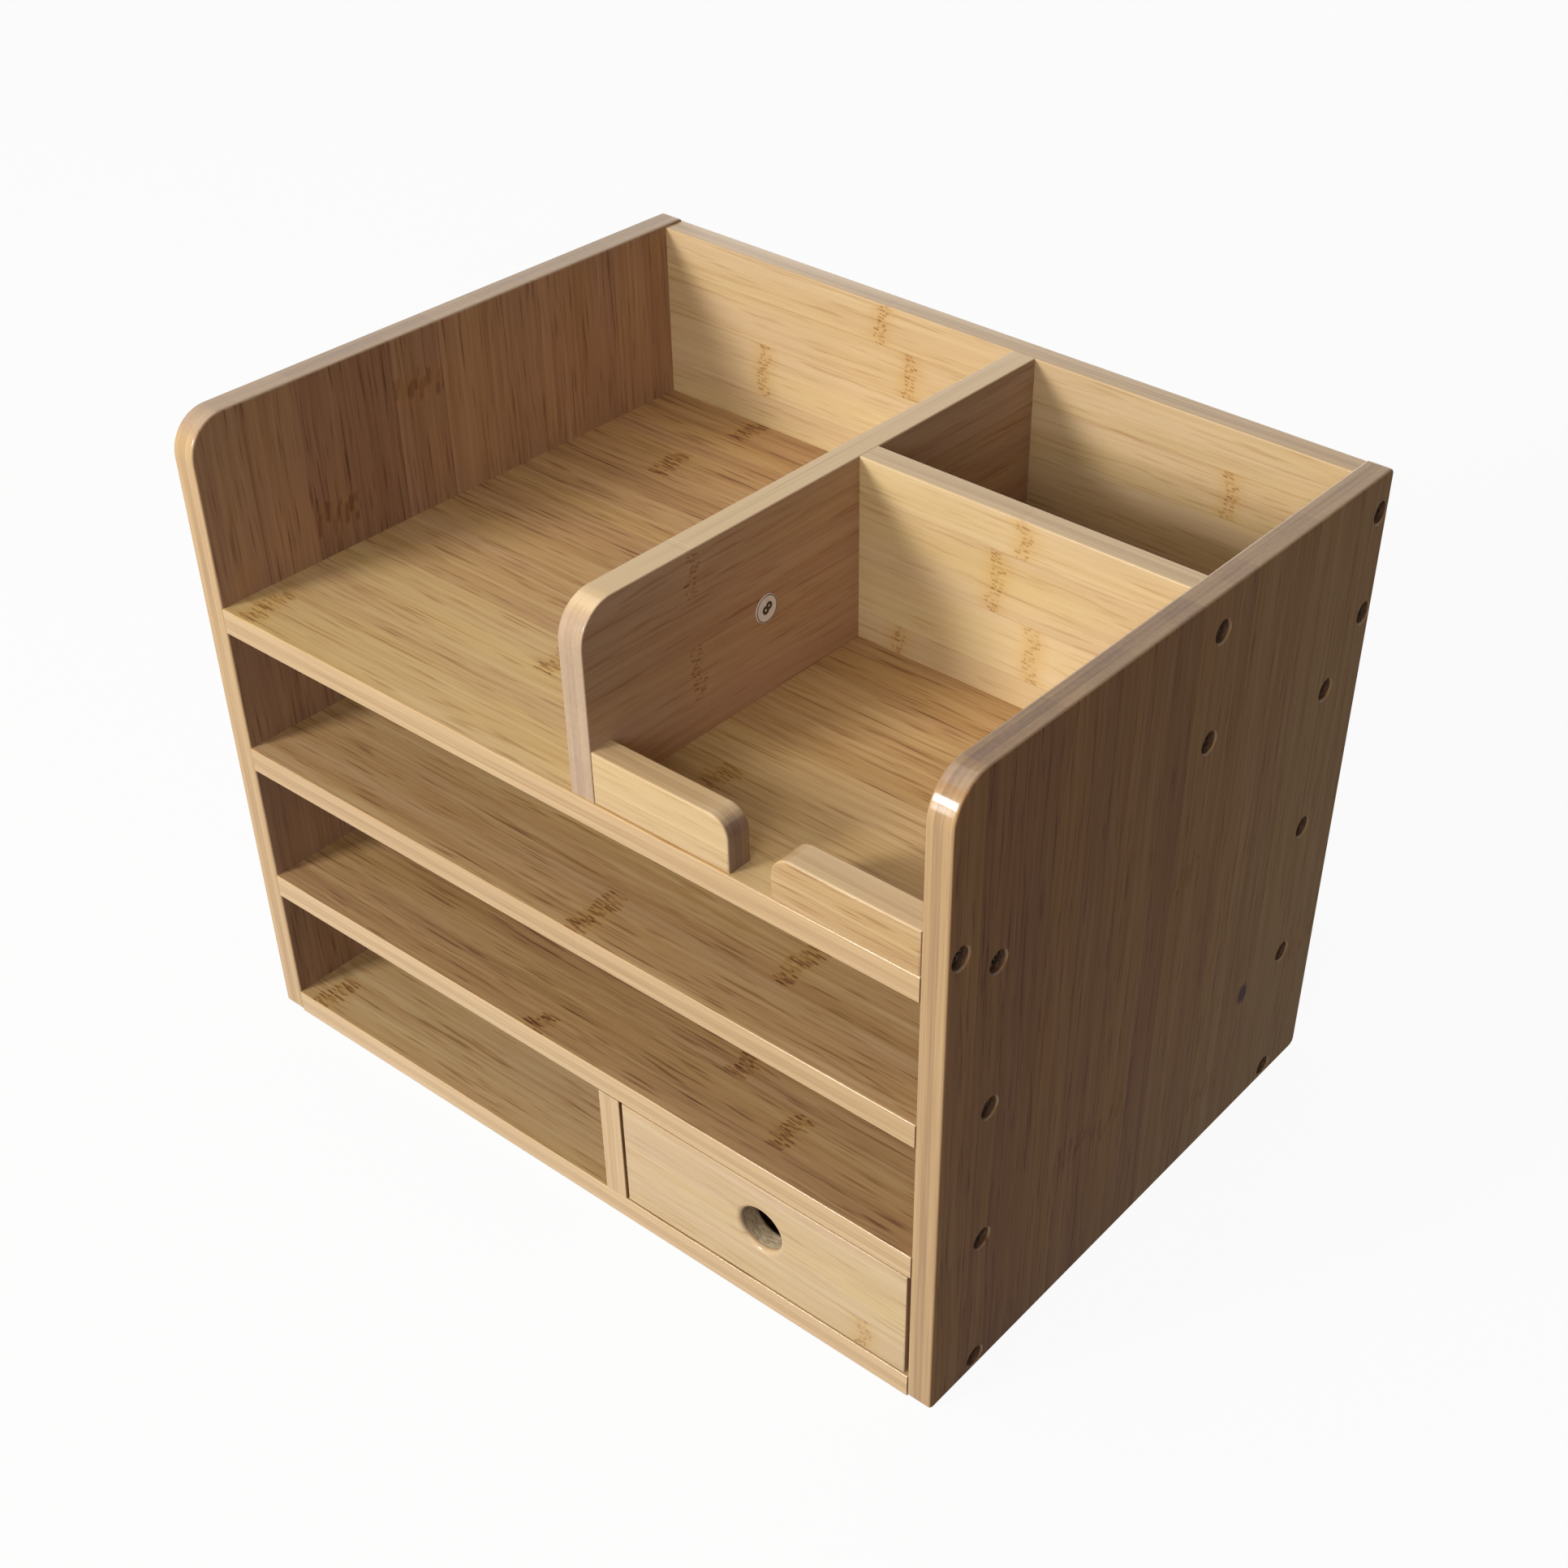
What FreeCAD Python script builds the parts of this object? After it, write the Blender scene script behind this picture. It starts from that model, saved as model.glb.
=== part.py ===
"""Bamboo desk organizer: two letter bays, open compartments on a deck and a small drawer.

Millimetres. +Z is up, the front faces -Y, and the origin is the centre of the footprint, on the desk.
"""
import FreeCAD
import Part
import math
import os

# Overall sizes
WIDTH = 330.0  # over both side panels
DEPTH = 240.0  # front edge to rear edge of the side panels
SIDE_HEIGHT = 257.0
BOARD = 10.0  # thickness of every carcass board

# Clear heights of the bays below the deck
DRAWER_BAY_HEIGHT = 49.0
LOWER_BAY_HEIGHT = 49.0
UPPER_BAY_HEIGHT = 49.0

# Compartments on the deck
RIM_DROP = 1.0  # how far the back board and the dividers stay below the tops of the side panels
RIGHT_BAY_WIDTH = 130.0  # clear width of the drawer bay and of the compartments above it
CROSS_DIVIDER_INSET = 131.0  # from the organizer's front edge to the face of the cross divider
DIVIDER_SETBACK = 0.8  # front of the top divider behind the organizer's front edge

# Shaped corners and eased edges
PANEL_BROW_RADIUS = 15.0  # front-top corner of a side panel
PANEL_HEEL_RADIUS = 3.0  # rear-bottom corner
PANEL_SOFT_RADIUS = 2.0  # the other two corners
DIVIDER_BROW_RADIUS = 14.0  # front-top corner of the top divider
PANEL_ARRIS = 1.0  # bevel along the outline of a side panel
BOARD_ARRIS = 0.6  # bevel along the free edges of the other boards

# Stops on the deck's front edge: the right one is lower and thicker, and flush with the edge
LEFT_STOP_HEIGHT = 19.3
LEFT_STOP_THICKNESS = 10.0
LEFT_STOP_SETBACK = 0.8  # behind the organizer's front edge
RIGHT_STOP_HEIGHT = 16.8
RIGHT_STOP_THICKNESS = 12.0
STOP_CORNER_RADIUS = 7.5  # top corner beside the finger gap
STOP_ARRIS = 0.9
STOP_FINGER_GAP = 17.0  # between the two stops

# Screws, all of one kind, whose heads lie deep in round counterbores
SCREW_LENGTH = 30.0  # under the head
SCREW_DIAMETER = 4.0
SCREW_HEAD_DIAMETER = 7.4
SCREW_HEAD_HEIGHT = 2.2
BORE_DIAMETER = 8.0
BORE_DEPTH = 4.6  # down to the seat of the head
PILOT_CLEARANCE = 0.05  # round the screw, on the radius
PILOT_END = 1.0  # past the screw's end

# There are many small fasteners, so each is a plain prism with this many sides
HEAD_SIDES = 12
SHANK_SIDES = 6
DOWEL_SIDES = 12

# Where the screws are
SHELF_SCREW_INSET = 25.0  # from the front and rear edges of a horizontal board
BACK_SCREW_SHARES = (0.24, 0.8)  # up the height of the back board
CROSS_SCREW_SHARES = (0.205, 0.8)  # up the height of the cross divider
EDGE_SCREW_INSET = 60.0  # from the ends of a divider that is screwed along its lower edge

# Dowels
DOWEL_LENGTH = 16.0
DOWEL_DIAMETER = 6.0
DOWEL_SHALLOW_END = 6.0  # how deep a dowel goes into the face of a board
DOWEL_CLEARANCE = 0.05  # round the dowel, on the radius
DOWEL_END_SPACE = 0.5  # for glue, past each end
STOP_DOWEL_INSET = 14.0  # from the free end of a stop

# Drawer, with its clearances in the bay
DRAWER_SIDE_GAP = 1.25
DRAWER_TOP_GAP = 0.6  # above the front
DRAWER_FOOT_GAP = 1.0  # below the front
DRAWER_RUN_GAP = 0.3  # below the sides, which slide on the base
DRAWER_REAR_GAP = 0.3  # to the stop strip when it is closed
DRAWER_HEADROOM = 6.7  # above the sides
DRAWER_FRONT_THICKNESS = 10.0
DRAWER_SIDE_THICKNESS = 8.0
DRAWER_BACK_THICKNESS = 8.0
DRAWER_BOTTOM_THICKNESS = 3.0
DRAWER_LAP = 5.0  # how deep the sides are let into the front
DRAWER_HOUSING = 3.0  # how deep the back is let into the sides
DRAWER_GROOVE_DEPTH = 4.0
DRAWER_GROOVE_RISE = 5.0  # from the lower edge of a side to its groove
GROOVE_CLEARANCE = 0.2  # above the bottom and past its edges
FINGER_HOLE_DIAMETER = 18.0
FINGER_HOLE_DROP = 20.7  # from the top of the front to the centre of the hole
FINGER_HOLE_LIP = 1.5  # bevel at the hole's mouth
FINGER_HOLE_REAR_LIP = 2.0  # bevel behind it

# Brads
BRAD_LENGTH = 20.0
BRAD_DIAMETER = 1.6
BRAD_SINK = 0.5  # head below the wood
BRAD_CLEARANCE = 0.05  # round the brad, on the radius
SIDE_BRAD_INSET = 10.0  # from the upper and lower edges of a drawer side
BOTTOM_BRAD_INSET = 30.0  # from the ends of the drawer back
STRIP_BRAD_INSET = 12.0  # from the ends of the stop strip

# Stop strip on the base behind the drawer
STRIP_LENGTH = 60.0
STRIP_THICKNESS = 10.0
STRIP_HEIGHT = 14.0
STRIP_REAR_INSET = 1.0  # from the rear edge of the base

# Round assembly sticker on the top divider
STICKER_DIAMETER = 10.4
STICKER_THICKNESS = 0.2
STICKER_INSET = 83.4  # from the organizer's front edge
STICKER_RISE_SHARE = 0.475  # up the height of the divider

CUT_OVERRUN = 5.0  # how far a cutting shape runs past the face that it opens

# Places that several pieces share
FRONT = -DEPTH / 2
REAR = DEPTH / 2
RIGHT = WIDTH / 2
INNER_RIGHT = RIGHT - BOARD
LOWER_SHELF_Z = BOARD + DRAWER_BAY_HEIGHT
UPPER_SHELF_Z = LOWER_SHELF_Z + BOARD + LOWER_BAY_HEIGHT
DECK_Z = UPPER_SHELF_Z + BOARD + UPPER_BAY_HEIGHT
DECK_TOP = DECK_Z + BOARD
RIM = SIDE_HEIGHT - RIM_DROP
BACK_FRONT = REAR - BOARD
DIVIDER_RIGHT = INNER_RIGHT - RIGHT_BAY_WIDTH
DIVIDER_LEFT = DIVIDER_RIGHT - BOARD
DIVIDER_MIDDLE = DIVIDER_RIGHT - BOARD / 2
CROSS_FRONT = FRONT + CROSS_DIVIDER_INSET
LEFT_STOP_FRONT = FRONT + LEFT_STOP_SETBACK
STOP_LENGTH = (RIGHT_BAY_WIDTH - STOP_FINGER_GAP) / 2
BAY_CENTRE = INNER_RIGHT - RIGHT_BAY_WIDTH / 2
STRIP_FRONT = REAR - STRIP_REAR_INSET - STRIP_THICKNESS
DRAWER_RIGHT = INNER_RIGHT - DRAWER_SIDE_GAP
DRAWER_LEFT = DIVIDER_RIGHT + DRAWER_SIDE_GAP
DRAWER_REAR = STRIP_FRONT - DRAWER_REAR_GAP
DRAWER_SIDE_Z = BOARD + DRAWER_RUN_GAP
DRAWER_SIDE_TOP = LOWER_SHELF_Z - DRAWER_HEADROOM
DRAWER_FRONT_Z = BOARD + DRAWER_FOOT_GAP
DRAWER_FRONT_TOP = LOWER_SHELF_Z - DRAWER_TOP_GAP
GROOVE_Z = DRAWER_SIDE_Z + DRAWER_GROOVE_RISE
GROOVE_TOP = GROOVE_Z + DRAWER_BOTTOM_THICKNESS + GROOVE_CLEARANCE
BOTTOM_TOP = GROOVE_Z + DRAWER_BOTTOM_THICKNESS
BACK_SCREW_HEIGHTS = [DECK_TOP + (RIM - DECK_TOP) * share for share in BACK_SCREW_SHARES]
CROSS_SCREW_HEIGHTS = [DECK_TOP + (RIM - DECK_TOP) * share for share in CROSS_SCREW_SHARES]

TO_LEFT = FreeCAD.Vector(-1, 0, 0)
TO_RIGHT = FreeCAD.Vector(1, 0, 0)
TO_REAR = FreeCAD.Vector(0, 1, 0)
DOWN = FreeCAD.Vector(0, 0, -1)
UP = FreeCAD.Vector(0, 0, 1)


def at(x, y, z):
    """A point."""
    return FreeCAD.Vector(x, y, z)


def block(x0, x1, y0, y1, z0, z1):
    """A box between two opposite corners."""
    return Part.makeBox(x1 - x0, y1 - y0, z1 - z0, at(x0, y0, z0))


def slab(corners, thickness):
    """Extrude an outline of (point, corner radius) pairs, each corner an arc of its radius."""
    arcs = []
    for index, (corner, radius) in enumerate(corners):
        back = (corners[index - 1][0] - corner).normalize()
        onward = (corners[(index + 1) % len(corners)][0] - corner).normalize()
        crown = (back + onward) * (radius * (1 - math.sqrt(1 / 2)))
        arcs.append((corner + back * radius, corner + crown, corner + onward * radius))
    edges = []
    for index, (start, crown, end) in enumerate(arcs):
        if (end - start).Length > 0:
            edges.append(Part.Arc(start, crown, end).toShape())
        edges.append(Part.LineSegment(end, arcs[(index + 1) % len(arcs)][0]).toShape())
    return Part.Face(Part.Wire(edges)).extrude(thickness)


def prism(sides, diameter, low, high):
    """A regular prism along +Z, as wide across its flats as the diameter that it stands for."""
    radius = diameter / 2 / math.cos(math.pi / sides)
    turns = [2 * math.pi * side / sides for side in range(sides + 1)]
    points = [at(radius * math.cos(turn), radius * math.sin(turn), low) for turn in turns]
    return Part.Face(Part.makePolygon(points)).extrude(at(0, 0, high - low))


def lies(edge, **plane):
    """Whether both ends of an edge have the given coordinate, such as Z=DECK_TOP."""
    return all(
        round(getattr(vertex, axis) - value, 3) == 0
        for vertex in edge.Vertexes
        for axis, value in plane.items()
    )


def eased(shape, width, *lines):
    """Bevel the edges that lie on any of the lines, each a dict of the planes that it lies on."""
    edges = [edge for edge in shape.Edges if any(lies(edge, **line) for line in lines)]
    return shape.makeChamfer(width, edges)


def placed(shape, point, outward):
    """A copy of a shape with its origin at a point and its +Z turned outward."""
    copy = shape.copy()
    copy.Placement = FreeCAD.Placement(point, FreeCAD.Rotation(UP, outward))
    return copy


def group(fastener, hole, places):
    """One set of like fasteners, as separate solids."""
    return Part.makeCompound([placed(fastener, *place) for place in places])


def drilled(shape, *fixings):
    """A board with the holes of each set of fasteners, given as (fastener, hole, places)."""
    holes = [placed(hole, *place) for fastener, hole, places in fixings for place in places]
    return shape.cut(holes).Solids[0]


# Fasteners

def screw():
    """A wood screw: the origin is under its head and the shank points to -Z."""
    head = prism(HEAD_SIDES, SCREW_HEAD_DIAMETER, 0, SCREW_HEAD_HEIGHT)
    shank = prism(SHANK_SIDES, SCREW_DIAMETER, -SCREW_LENGTH, 0)
    return head.fuse(shank).removeSplitter().Solids[0]


def screw_hole():
    """The counterbore and pilot hole of one screw, on the screw's own origin."""
    pilot_diameter = SCREW_DIAMETER + 2 * PILOT_CLEARANCE
    pilot = prism(SHANK_SIDES, pilot_diameter, -SCREW_LENGTH - PILOT_END, 0)
    bore = Part.makeCylinder(BORE_DIAMETER / 2, BORE_DEPTH + CUT_OVERRUN)
    return bore.fuse(pilot)


def dowel():
    """A dowel that crosses a joint at z=0, with its shallow end towards -Z."""
    return prism(DOWEL_SIDES, DOWEL_DIAMETER, -DOWEL_SHALLOW_END, DOWEL_LENGTH - DOWEL_SHALLOW_END)


def dowel_hole():
    """The two blind holes that one dowel needs, on the dowel's own origin."""
    diameter = DOWEL_DIAMETER + 2 * DOWEL_CLEARANCE
    low = -DOWEL_SHALLOW_END - DOWEL_END_SPACE
    high = DOWEL_LENGTH - DOWEL_SHALLOW_END + DOWEL_END_SPACE
    return prism(DOWEL_SIDES, diameter, low, high)


def brad():
    """A headless nail: its origin is its sunk top and it points to -Z."""
    return prism(SHANK_SIDES, BRAD_DIAMETER, -BRAD_LENGTH, 0)


def brad_hole():
    """The hole of one brad, open at the surface above its sunk top."""
    diameter = BRAD_DIAMETER + 2 * BRAD_CLEARANCE
    return prism(SHANK_SIDES, diameter, -BRAD_LENGTH - BRAD_CLEARANCE, BRAD_SINK + CUT_OVERRUN)


# Places of the fasteners, each the fastener's origin and its outward direction

def side_screw_places(outward, right_hand):
    """Through one side panel into every board that ends on it."""
    places = []
    x = outward.x * (RIGHT - BORE_DEPTH)
    for z in (0, LOWER_SHELF_Z, UPPER_SHELF_Z, DECK_Z):
        for y in (FRONT + SHELF_SCREW_INSET, REAR - SHELF_SCREW_INSET):
            places.append((at(x, y, z + BOARD / 2), outward))
    for z in BACK_SCREW_HEIGHTS:
        places.append((at(x, REAR - BOARD / 2, z), outward))
    if right_hand:
        for z in CROSS_SCREW_HEIGHTS:
            places.append((at(x, CROSS_FRONT + BOARD / 2, z), outward))
        y = FRONT + RIGHT_STOP_THICKNESS / 2
        places.append((at(x, y, DECK_TOP + RIGHT_STOP_HEIGHT / 2), outward))
    return places


def divider_screw_places():
    """Through the top divider, from its left face, into the cross divider and the left stop."""
    x = DIVIDER_LEFT + BORE_DEPTH
    places = [(at(x, CROSS_FRONT + BOARD / 2, z), TO_LEFT) for z in CROSS_SCREW_HEIGHTS]
    y = LEFT_STOP_FRONT + LEFT_STOP_THICKNESS / 2
    places.append((at(x, y, DECK_TOP + LEFT_STOP_HEIGHT / 2), TO_LEFT))
    return places


def back_screw_places():
    """Through the back board into the rear end of the top divider."""
    return [(at(DIVIDER_MIDDLE, REAR - BORE_DEPTH, z), TO_REAR) for z in BACK_SCREW_HEIGHTS]


def edge_screw_places(underside, rear_end):
    """Up through a horizontal board into the lower edge of a divider that ends at rear_end."""
    ends = (FRONT + EDGE_SCREW_INSET, rear_end - EDGE_SCREW_INSET)
    return [(at(DIVIDER_MIDDLE, y, underside + BORE_DEPTH), DOWN) for y in ends]


def divider_dowel_places():
    """From the lower shelf down into the upper edge of the lower divider."""
    ends = (FRONT + EDGE_SCREW_INSET, REAR - EDGE_SCREW_INSET)
    return [(at(DIVIDER_MIDDLE, y, LOWER_SHELF_Z), DOWN) for y in ends]


def stop_dowel_places():
    """From the deck up into the free end of each stop."""
    from_centre = STOP_FINGER_GAP / 2 + STOP_DOWEL_INSET
    left = at(BAY_CENTRE - from_centre, LEFT_STOP_FRONT + LEFT_STOP_THICKNESS / 2, DECK_TOP)
    right = at(BAY_CENTRE + from_centre, FRONT + RIGHT_STOP_THICKNESS / 2, DECK_TOP)
    return [(left, UP), (right, UP)]


def drawer_brad_places():
    """Through the drawer's sides into its front and back, and up through its bottom into the back."""
    places = []
    lap_middle = FRONT + (DRAWER_LAP + DRAWER_FRONT_THICKNESS) / 2
    back_middle = DRAWER_REAR - DRAWER_BACK_THICKNESS / 2
    for y in (lap_middle, back_middle):
        for z in (DRAWER_SIDE_Z + SIDE_BRAD_INSET, DRAWER_SIDE_TOP - SIDE_BRAD_INSET):
            places.append((at(DRAWER_LEFT + BRAD_SINK, y, z), TO_LEFT))
            places.append((at(DRAWER_RIGHT - BRAD_SINK, y, z), TO_RIGHT))
    for x in (DRAWER_LEFT + BOTTOM_BRAD_INSET, DRAWER_RIGHT - BOTTOM_BRAD_INSET):
        places.append((at(x, back_middle, GROOVE_Z + BRAD_SINK), DOWN))
    return places


def strip_brad_places():
    """Down through the stop strip into the base."""
    from_centre = STRIP_LENGTH / 2 - STRIP_BRAD_INSET
    y = STRIP_FRONT + STRIP_THICKNESS / 2
    z = BOARD + STRIP_HEIGHT - BRAD_SINK
    return [(at(x, y, z), UP) for x in (BAY_CENTRE - from_centre, BAY_CENTRE + from_centre)]


# Carcass

def side_panel(x0):
    """An upright side with a rounded brow, its whole outline eased."""
    outline = [
        (at(x0, FRONT, 0), PANEL_SOFT_RADIUS),
        (at(x0, REAR, 0), PANEL_HEEL_RADIUS),
        (at(x0, REAR, SIDE_HEIGHT), PANEL_SOFT_RADIUS),
        (at(x0, FRONT, SIDE_HEIGHT), PANEL_BROW_RADIUS),
    ]
    return eased(slab(outline, at(BOARD, 0, 0)), PANEL_ARRIS, dict(X=x0), dict(X=x0 + BOARD))


def shelf(underside):
    """A full-depth horizontal board between the side panels, its front and rear edges eased."""
    top = underside + BOARD
    board = block(-INNER_RIGHT, INNER_RIGHT, FRONT, REAR, underside, top)
    lines = [dict(Y=y, Z=z) for y in (FRONT, REAR) for z in (underside, top)]
    return eased(board, BOARD_ARRIS, *lines)


def upright_across(x0, front):
    """A board that stands across the deck, from x0 to the right side panel, its rim eased."""
    board = block(x0, INNER_RIGHT, front, front + BOARD, DECK_TOP, RIM)
    return eased(board, BOARD_ARRIS, dict(Y=front, Z=RIM), dict(Y=front + BOARD, Z=RIM))


def top_divider():
    """The board that runs front to back on the deck, with a rounded brow."""
    front = FRONT + DIVIDER_SETBACK
    outline = [
        (at(DIVIDER_LEFT, front, DECK_TOP), 0),
        (at(DIVIDER_LEFT, BACK_FRONT, DECK_TOP), 0),
        (at(DIVIDER_LEFT, BACK_FRONT, RIM), 0),
        (at(DIVIDER_LEFT, front, RIM), DIVIDER_BROW_RADIUS),
    ]
    board = slab(outline, at(BOARD, 0, 0))
    joined = [dict(X=x, Z=DECK_TOP) for x in (DIVIDER_LEFT, DIVIDER_RIGHT)]
    joined += [dict(X=x, Y=BACK_FRONT) for x in (DIVIDER_LEFT, DIVIDER_RIGHT)]
    edges = [
        edge for edge in board.Edges
        if (lies(edge, X=DIVIDER_LEFT) or lies(edge, X=DIVIDER_RIGHT))
        and not any(lies(edge, **line) for line in joined)
    ]
    return board.makeChamfer(BOARD_ARRIS, edges)


def lower_divider():
    """The left wall of the drawer bay."""
    board = block(DIVIDER_LEFT, DIVIDER_RIGHT, FRONT, REAR, BOARD, LOWER_SHELF_Z)
    lines = [dict(X=x, Y=y) for x in (DIVIDER_LEFT, DIVIDER_RIGHT) for y in (FRONT, REAR)]
    return eased(board, BOARD_ARRIS, *lines)


def stop(fixed_end, towards_gap, front, thickness, height):
    """A low strip on the deck's front edge, its top corner rounded beside the finger gap."""
    free_end = fixed_end + towards_gap.x * STOP_LENGTH
    outline = [
        (at(fixed_end, front, DECK_TOP), 0),
        (at(free_end, front, DECK_TOP), 0),
        (at(free_end, front, DECK_TOP + height), STOP_CORNER_RADIUS),
        (at(fixed_end, front, DECK_TOP + height), 0),
    ]
    strip = slab(outline, at(0, thickness, 0))
    return eased(strip, STOP_ARRIS, dict(Y=front), dict(Y=front + thickness))


def left_stop():
    """The stop beside the top divider."""
    return stop(DIVIDER_RIGHT, TO_RIGHT, LEFT_STOP_FRONT, LEFT_STOP_THICKNESS, LEFT_STOP_HEIGHT)


def right_stop():
    """The stop beside the right side panel."""
    return stop(INNER_RIGHT, TO_LEFT, FRONT, RIGHT_STOP_THICKNESS, RIGHT_STOP_HEIGHT)


def stop_strip():
    """The batten that stops the drawer flush with the front."""
    x0 = BAY_CENTRE - STRIP_LENGTH / 2
    x1 = BAY_CENTRE + STRIP_LENGTH / 2
    rear = STRIP_FRONT + STRIP_THICKNESS
    top = BOARD + STRIP_HEIGHT
    strip = block(x0, x1, STRIP_FRONT, rear, BOARD, top)
    return eased(strip, BOARD_ARRIS, dict(Y=STRIP_FRONT, Z=top), dict(Y=rear, Z=top))


def sticker():
    """A thin disc on the right face of the top divider."""
    height = DECK_TOP + (RIM - DECK_TOP) * STICKER_RISE_SHARE
    centre = at(DIVIDER_RIGHT, FRONT + STICKER_INSET, height)
    return Part.makeCylinder(STICKER_DIAMETER / 2, STICKER_THICKNESS, centre, TO_RIGHT)


# Drawer

def drawer_brads():
    """The drawer's set of brads."""
    return brad(), brad_hole(), drawer_brad_places()


def circle_at(board, y):
    """The round edge of a board at the given y."""
    return [edge for edge in board.Edges if isinstance(edge.Curve, Part.Circle) and lies(edge, Y=y)][0]


def drawer_front():
    """The front with its finger hole, lapped over the sides and grooved for the bottom."""
    rear = FRONT + DRAWER_FRONT_THICKNESS
    board = block(DRAWER_LEFT, DRAWER_RIGHT, FRONT, rear, DRAWER_FRONT_Z, DRAWER_FRONT_TOP)
    board = eased(board, BOARD_ARRIS, dict(Y=FRONT), dict(Y=rear, Z=DRAWER_FRONT_TOP))
    low = DRAWER_FRONT_Z - CUT_OVERRUN
    high = DRAWER_FRONT_TOP + CUT_OVERRUN
    lap = FRONT + DRAWER_LAP
    past = rear + CUT_OVERRUN
    inner_left = DRAWER_LEFT + DRAWER_SIDE_THICKNESS
    inner_right = DRAWER_RIGHT - DRAWER_SIDE_THICKNESS
    left_lap = block(DRAWER_LEFT - CUT_OVERRUN, inner_left, lap, past, low, DRAWER_SIDE_TOP)
    right_lap = block(inner_right, DRAWER_RIGHT + CUT_OVERRUN, lap, past, low, DRAWER_SIDE_TOP)
    groove = block(inner_left, inner_right, rear - DRAWER_GROOVE_DEPTH, past, GROOVE_Z, GROOVE_TOP)
    radius = FINGER_HOLE_DIAMETER / 2
    centre = at(BAY_CENTRE, FRONT - CUT_OVERRUN, DRAWER_FRONT_TOP - FINGER_HOLE_DROP)
    length = DRAWER_FRONT_THICKNESS + 2 * CUT_OVERRUN
    board = board.cut([left_lap, right_lap, groove, Part.makeCylinder(radius, length, centre, TO_REAR)])
    board = board.makeChamfer(FINGER_HOLE_LIP, [circle_at(board, FRONT)])
    board = board.makeChamfer(FINGER_HOLE_REAR_LIP, [circle_at(board, rear)])
    return drilled(board, drawer_brads())


def drawer_side(outer, inward):
    """A side: let into the front's lap, grooved for the bottom and rebated for the back."""
    inner = outer + inward.x * DRAWER_SIDE_THICKNESS
    x0, x1 = sorted((outer, inner))
    lap = FRONT + DRAWER_LAP
    board = block(x0, x1, lap, DRAWER_REAR, DRAWER_SIDE_Z, DRAWER_SIDE_TOP)
    board = eased(board, BOARD_ARRIS, dict(X=x0, Z=DRAWER_SIDE_TOP), dict(X=x1, Z=DRAWER_SIDE_TOP))
    beyond = inner + inward.x * CUT_OVERRUN
    g0, g1 = sorted((inner - inward.x * DRAWER_GROOVE_DEPTH, beyond))
    h0, h1 = sorted((inner - inward.x * DRAWER_HOUSING, beyond))
    past = DRAWER_REAR + CUT_OVERRUN
    groove = block(g0, g1, lap - CUT_OVERRUN, past, GROOVE_Z, GROOVE_TOP)
    rebate_front = DRAWER_REAR - DRAWER_BACK_THICKNESS
    rebate = block(h0, h1, rebate_front, past, BOTTOM_TOP, DRAWER_SIDE_TOP + CUT_OVERRUN)
    return drilled(board.cut([groove, rebate]), drawer_brads())


def drawer_back():
    """The back, which stands on the bottom between the sides' rebates."""
    inset = DRAWER_SIDE_THICKNESS - DRAWER_HOUSING
    front = DRAWER_REAR - DRAWER_BACK_THICKNESS
    x0 = DRAWER_LEFT + inset
    x1 = DRAWER_RIGHT - inset
    board = block(x0, x1, front, DRAWER_REAR, BOTTOM_TOP, DRAWER_SIDE_TOP)
    lines = [dict(Y=y, Z=DRAWER_SIDE_TOP) for y in (front, DRAWER_REAR)]
    return drilled(eased(board, BOARD_ARRIS, *lines), drawer_brads())


def drawer_bottom():
    """The thin bottom, in the grooves of the front and sides and under the back."""
    inset = DRAWER_SIDE_THICKNESS - DRAWER_GROOVE_DEPTH + GROOVE_CLEARANCE
    front = FRONT + DRAWER_FRONT_THICKNESS - DRAWER_GROOVE_DEPTH + GROOVE_CLEARANCE
    x0 = DRAWER_LEFT + inset
    x1 = DRAWER_RIGHT - inset
    panel = block(x0, x1, front, DRAWER_REAR, GROOVE_Z, BOTTOM_TOP)
    return drilled(panel, drawer_brads())


def carcass_fixings():
    """Every set of fasteners in the carcass as (fastener, hole, places), by the name of its node."""
    return {
        "side_screws_left": (screw(), screw_hole(), side_screw_places(TO_LEFT, False)),
        "side_screws_right": (screw(), screw_hole(), side_screw_places(TO_RIGHT, True)),
        "divider_screws": (screw(), screw_hole(), divider_screw_places()),
        "back_screws": (screw(), screw_hole(), back_screw_places()),
        "deck_screws": (screw(), screw_hole(), edge_screw_places(DECK_Z, BACK_FRONT)),
        "base_screws": (screw(), screw_hole(), edge_screw_places(0, REAR)),
        "divider_dowels": (dowel(), dowel_hole(), divider_dowel_places()),
        "stop_dowels": (dowel(), dowel_hole(), stop_dowel_places()),
        "strip_brads": (brad(), brad_hole(), strip_brad_places()),
    }


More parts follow.
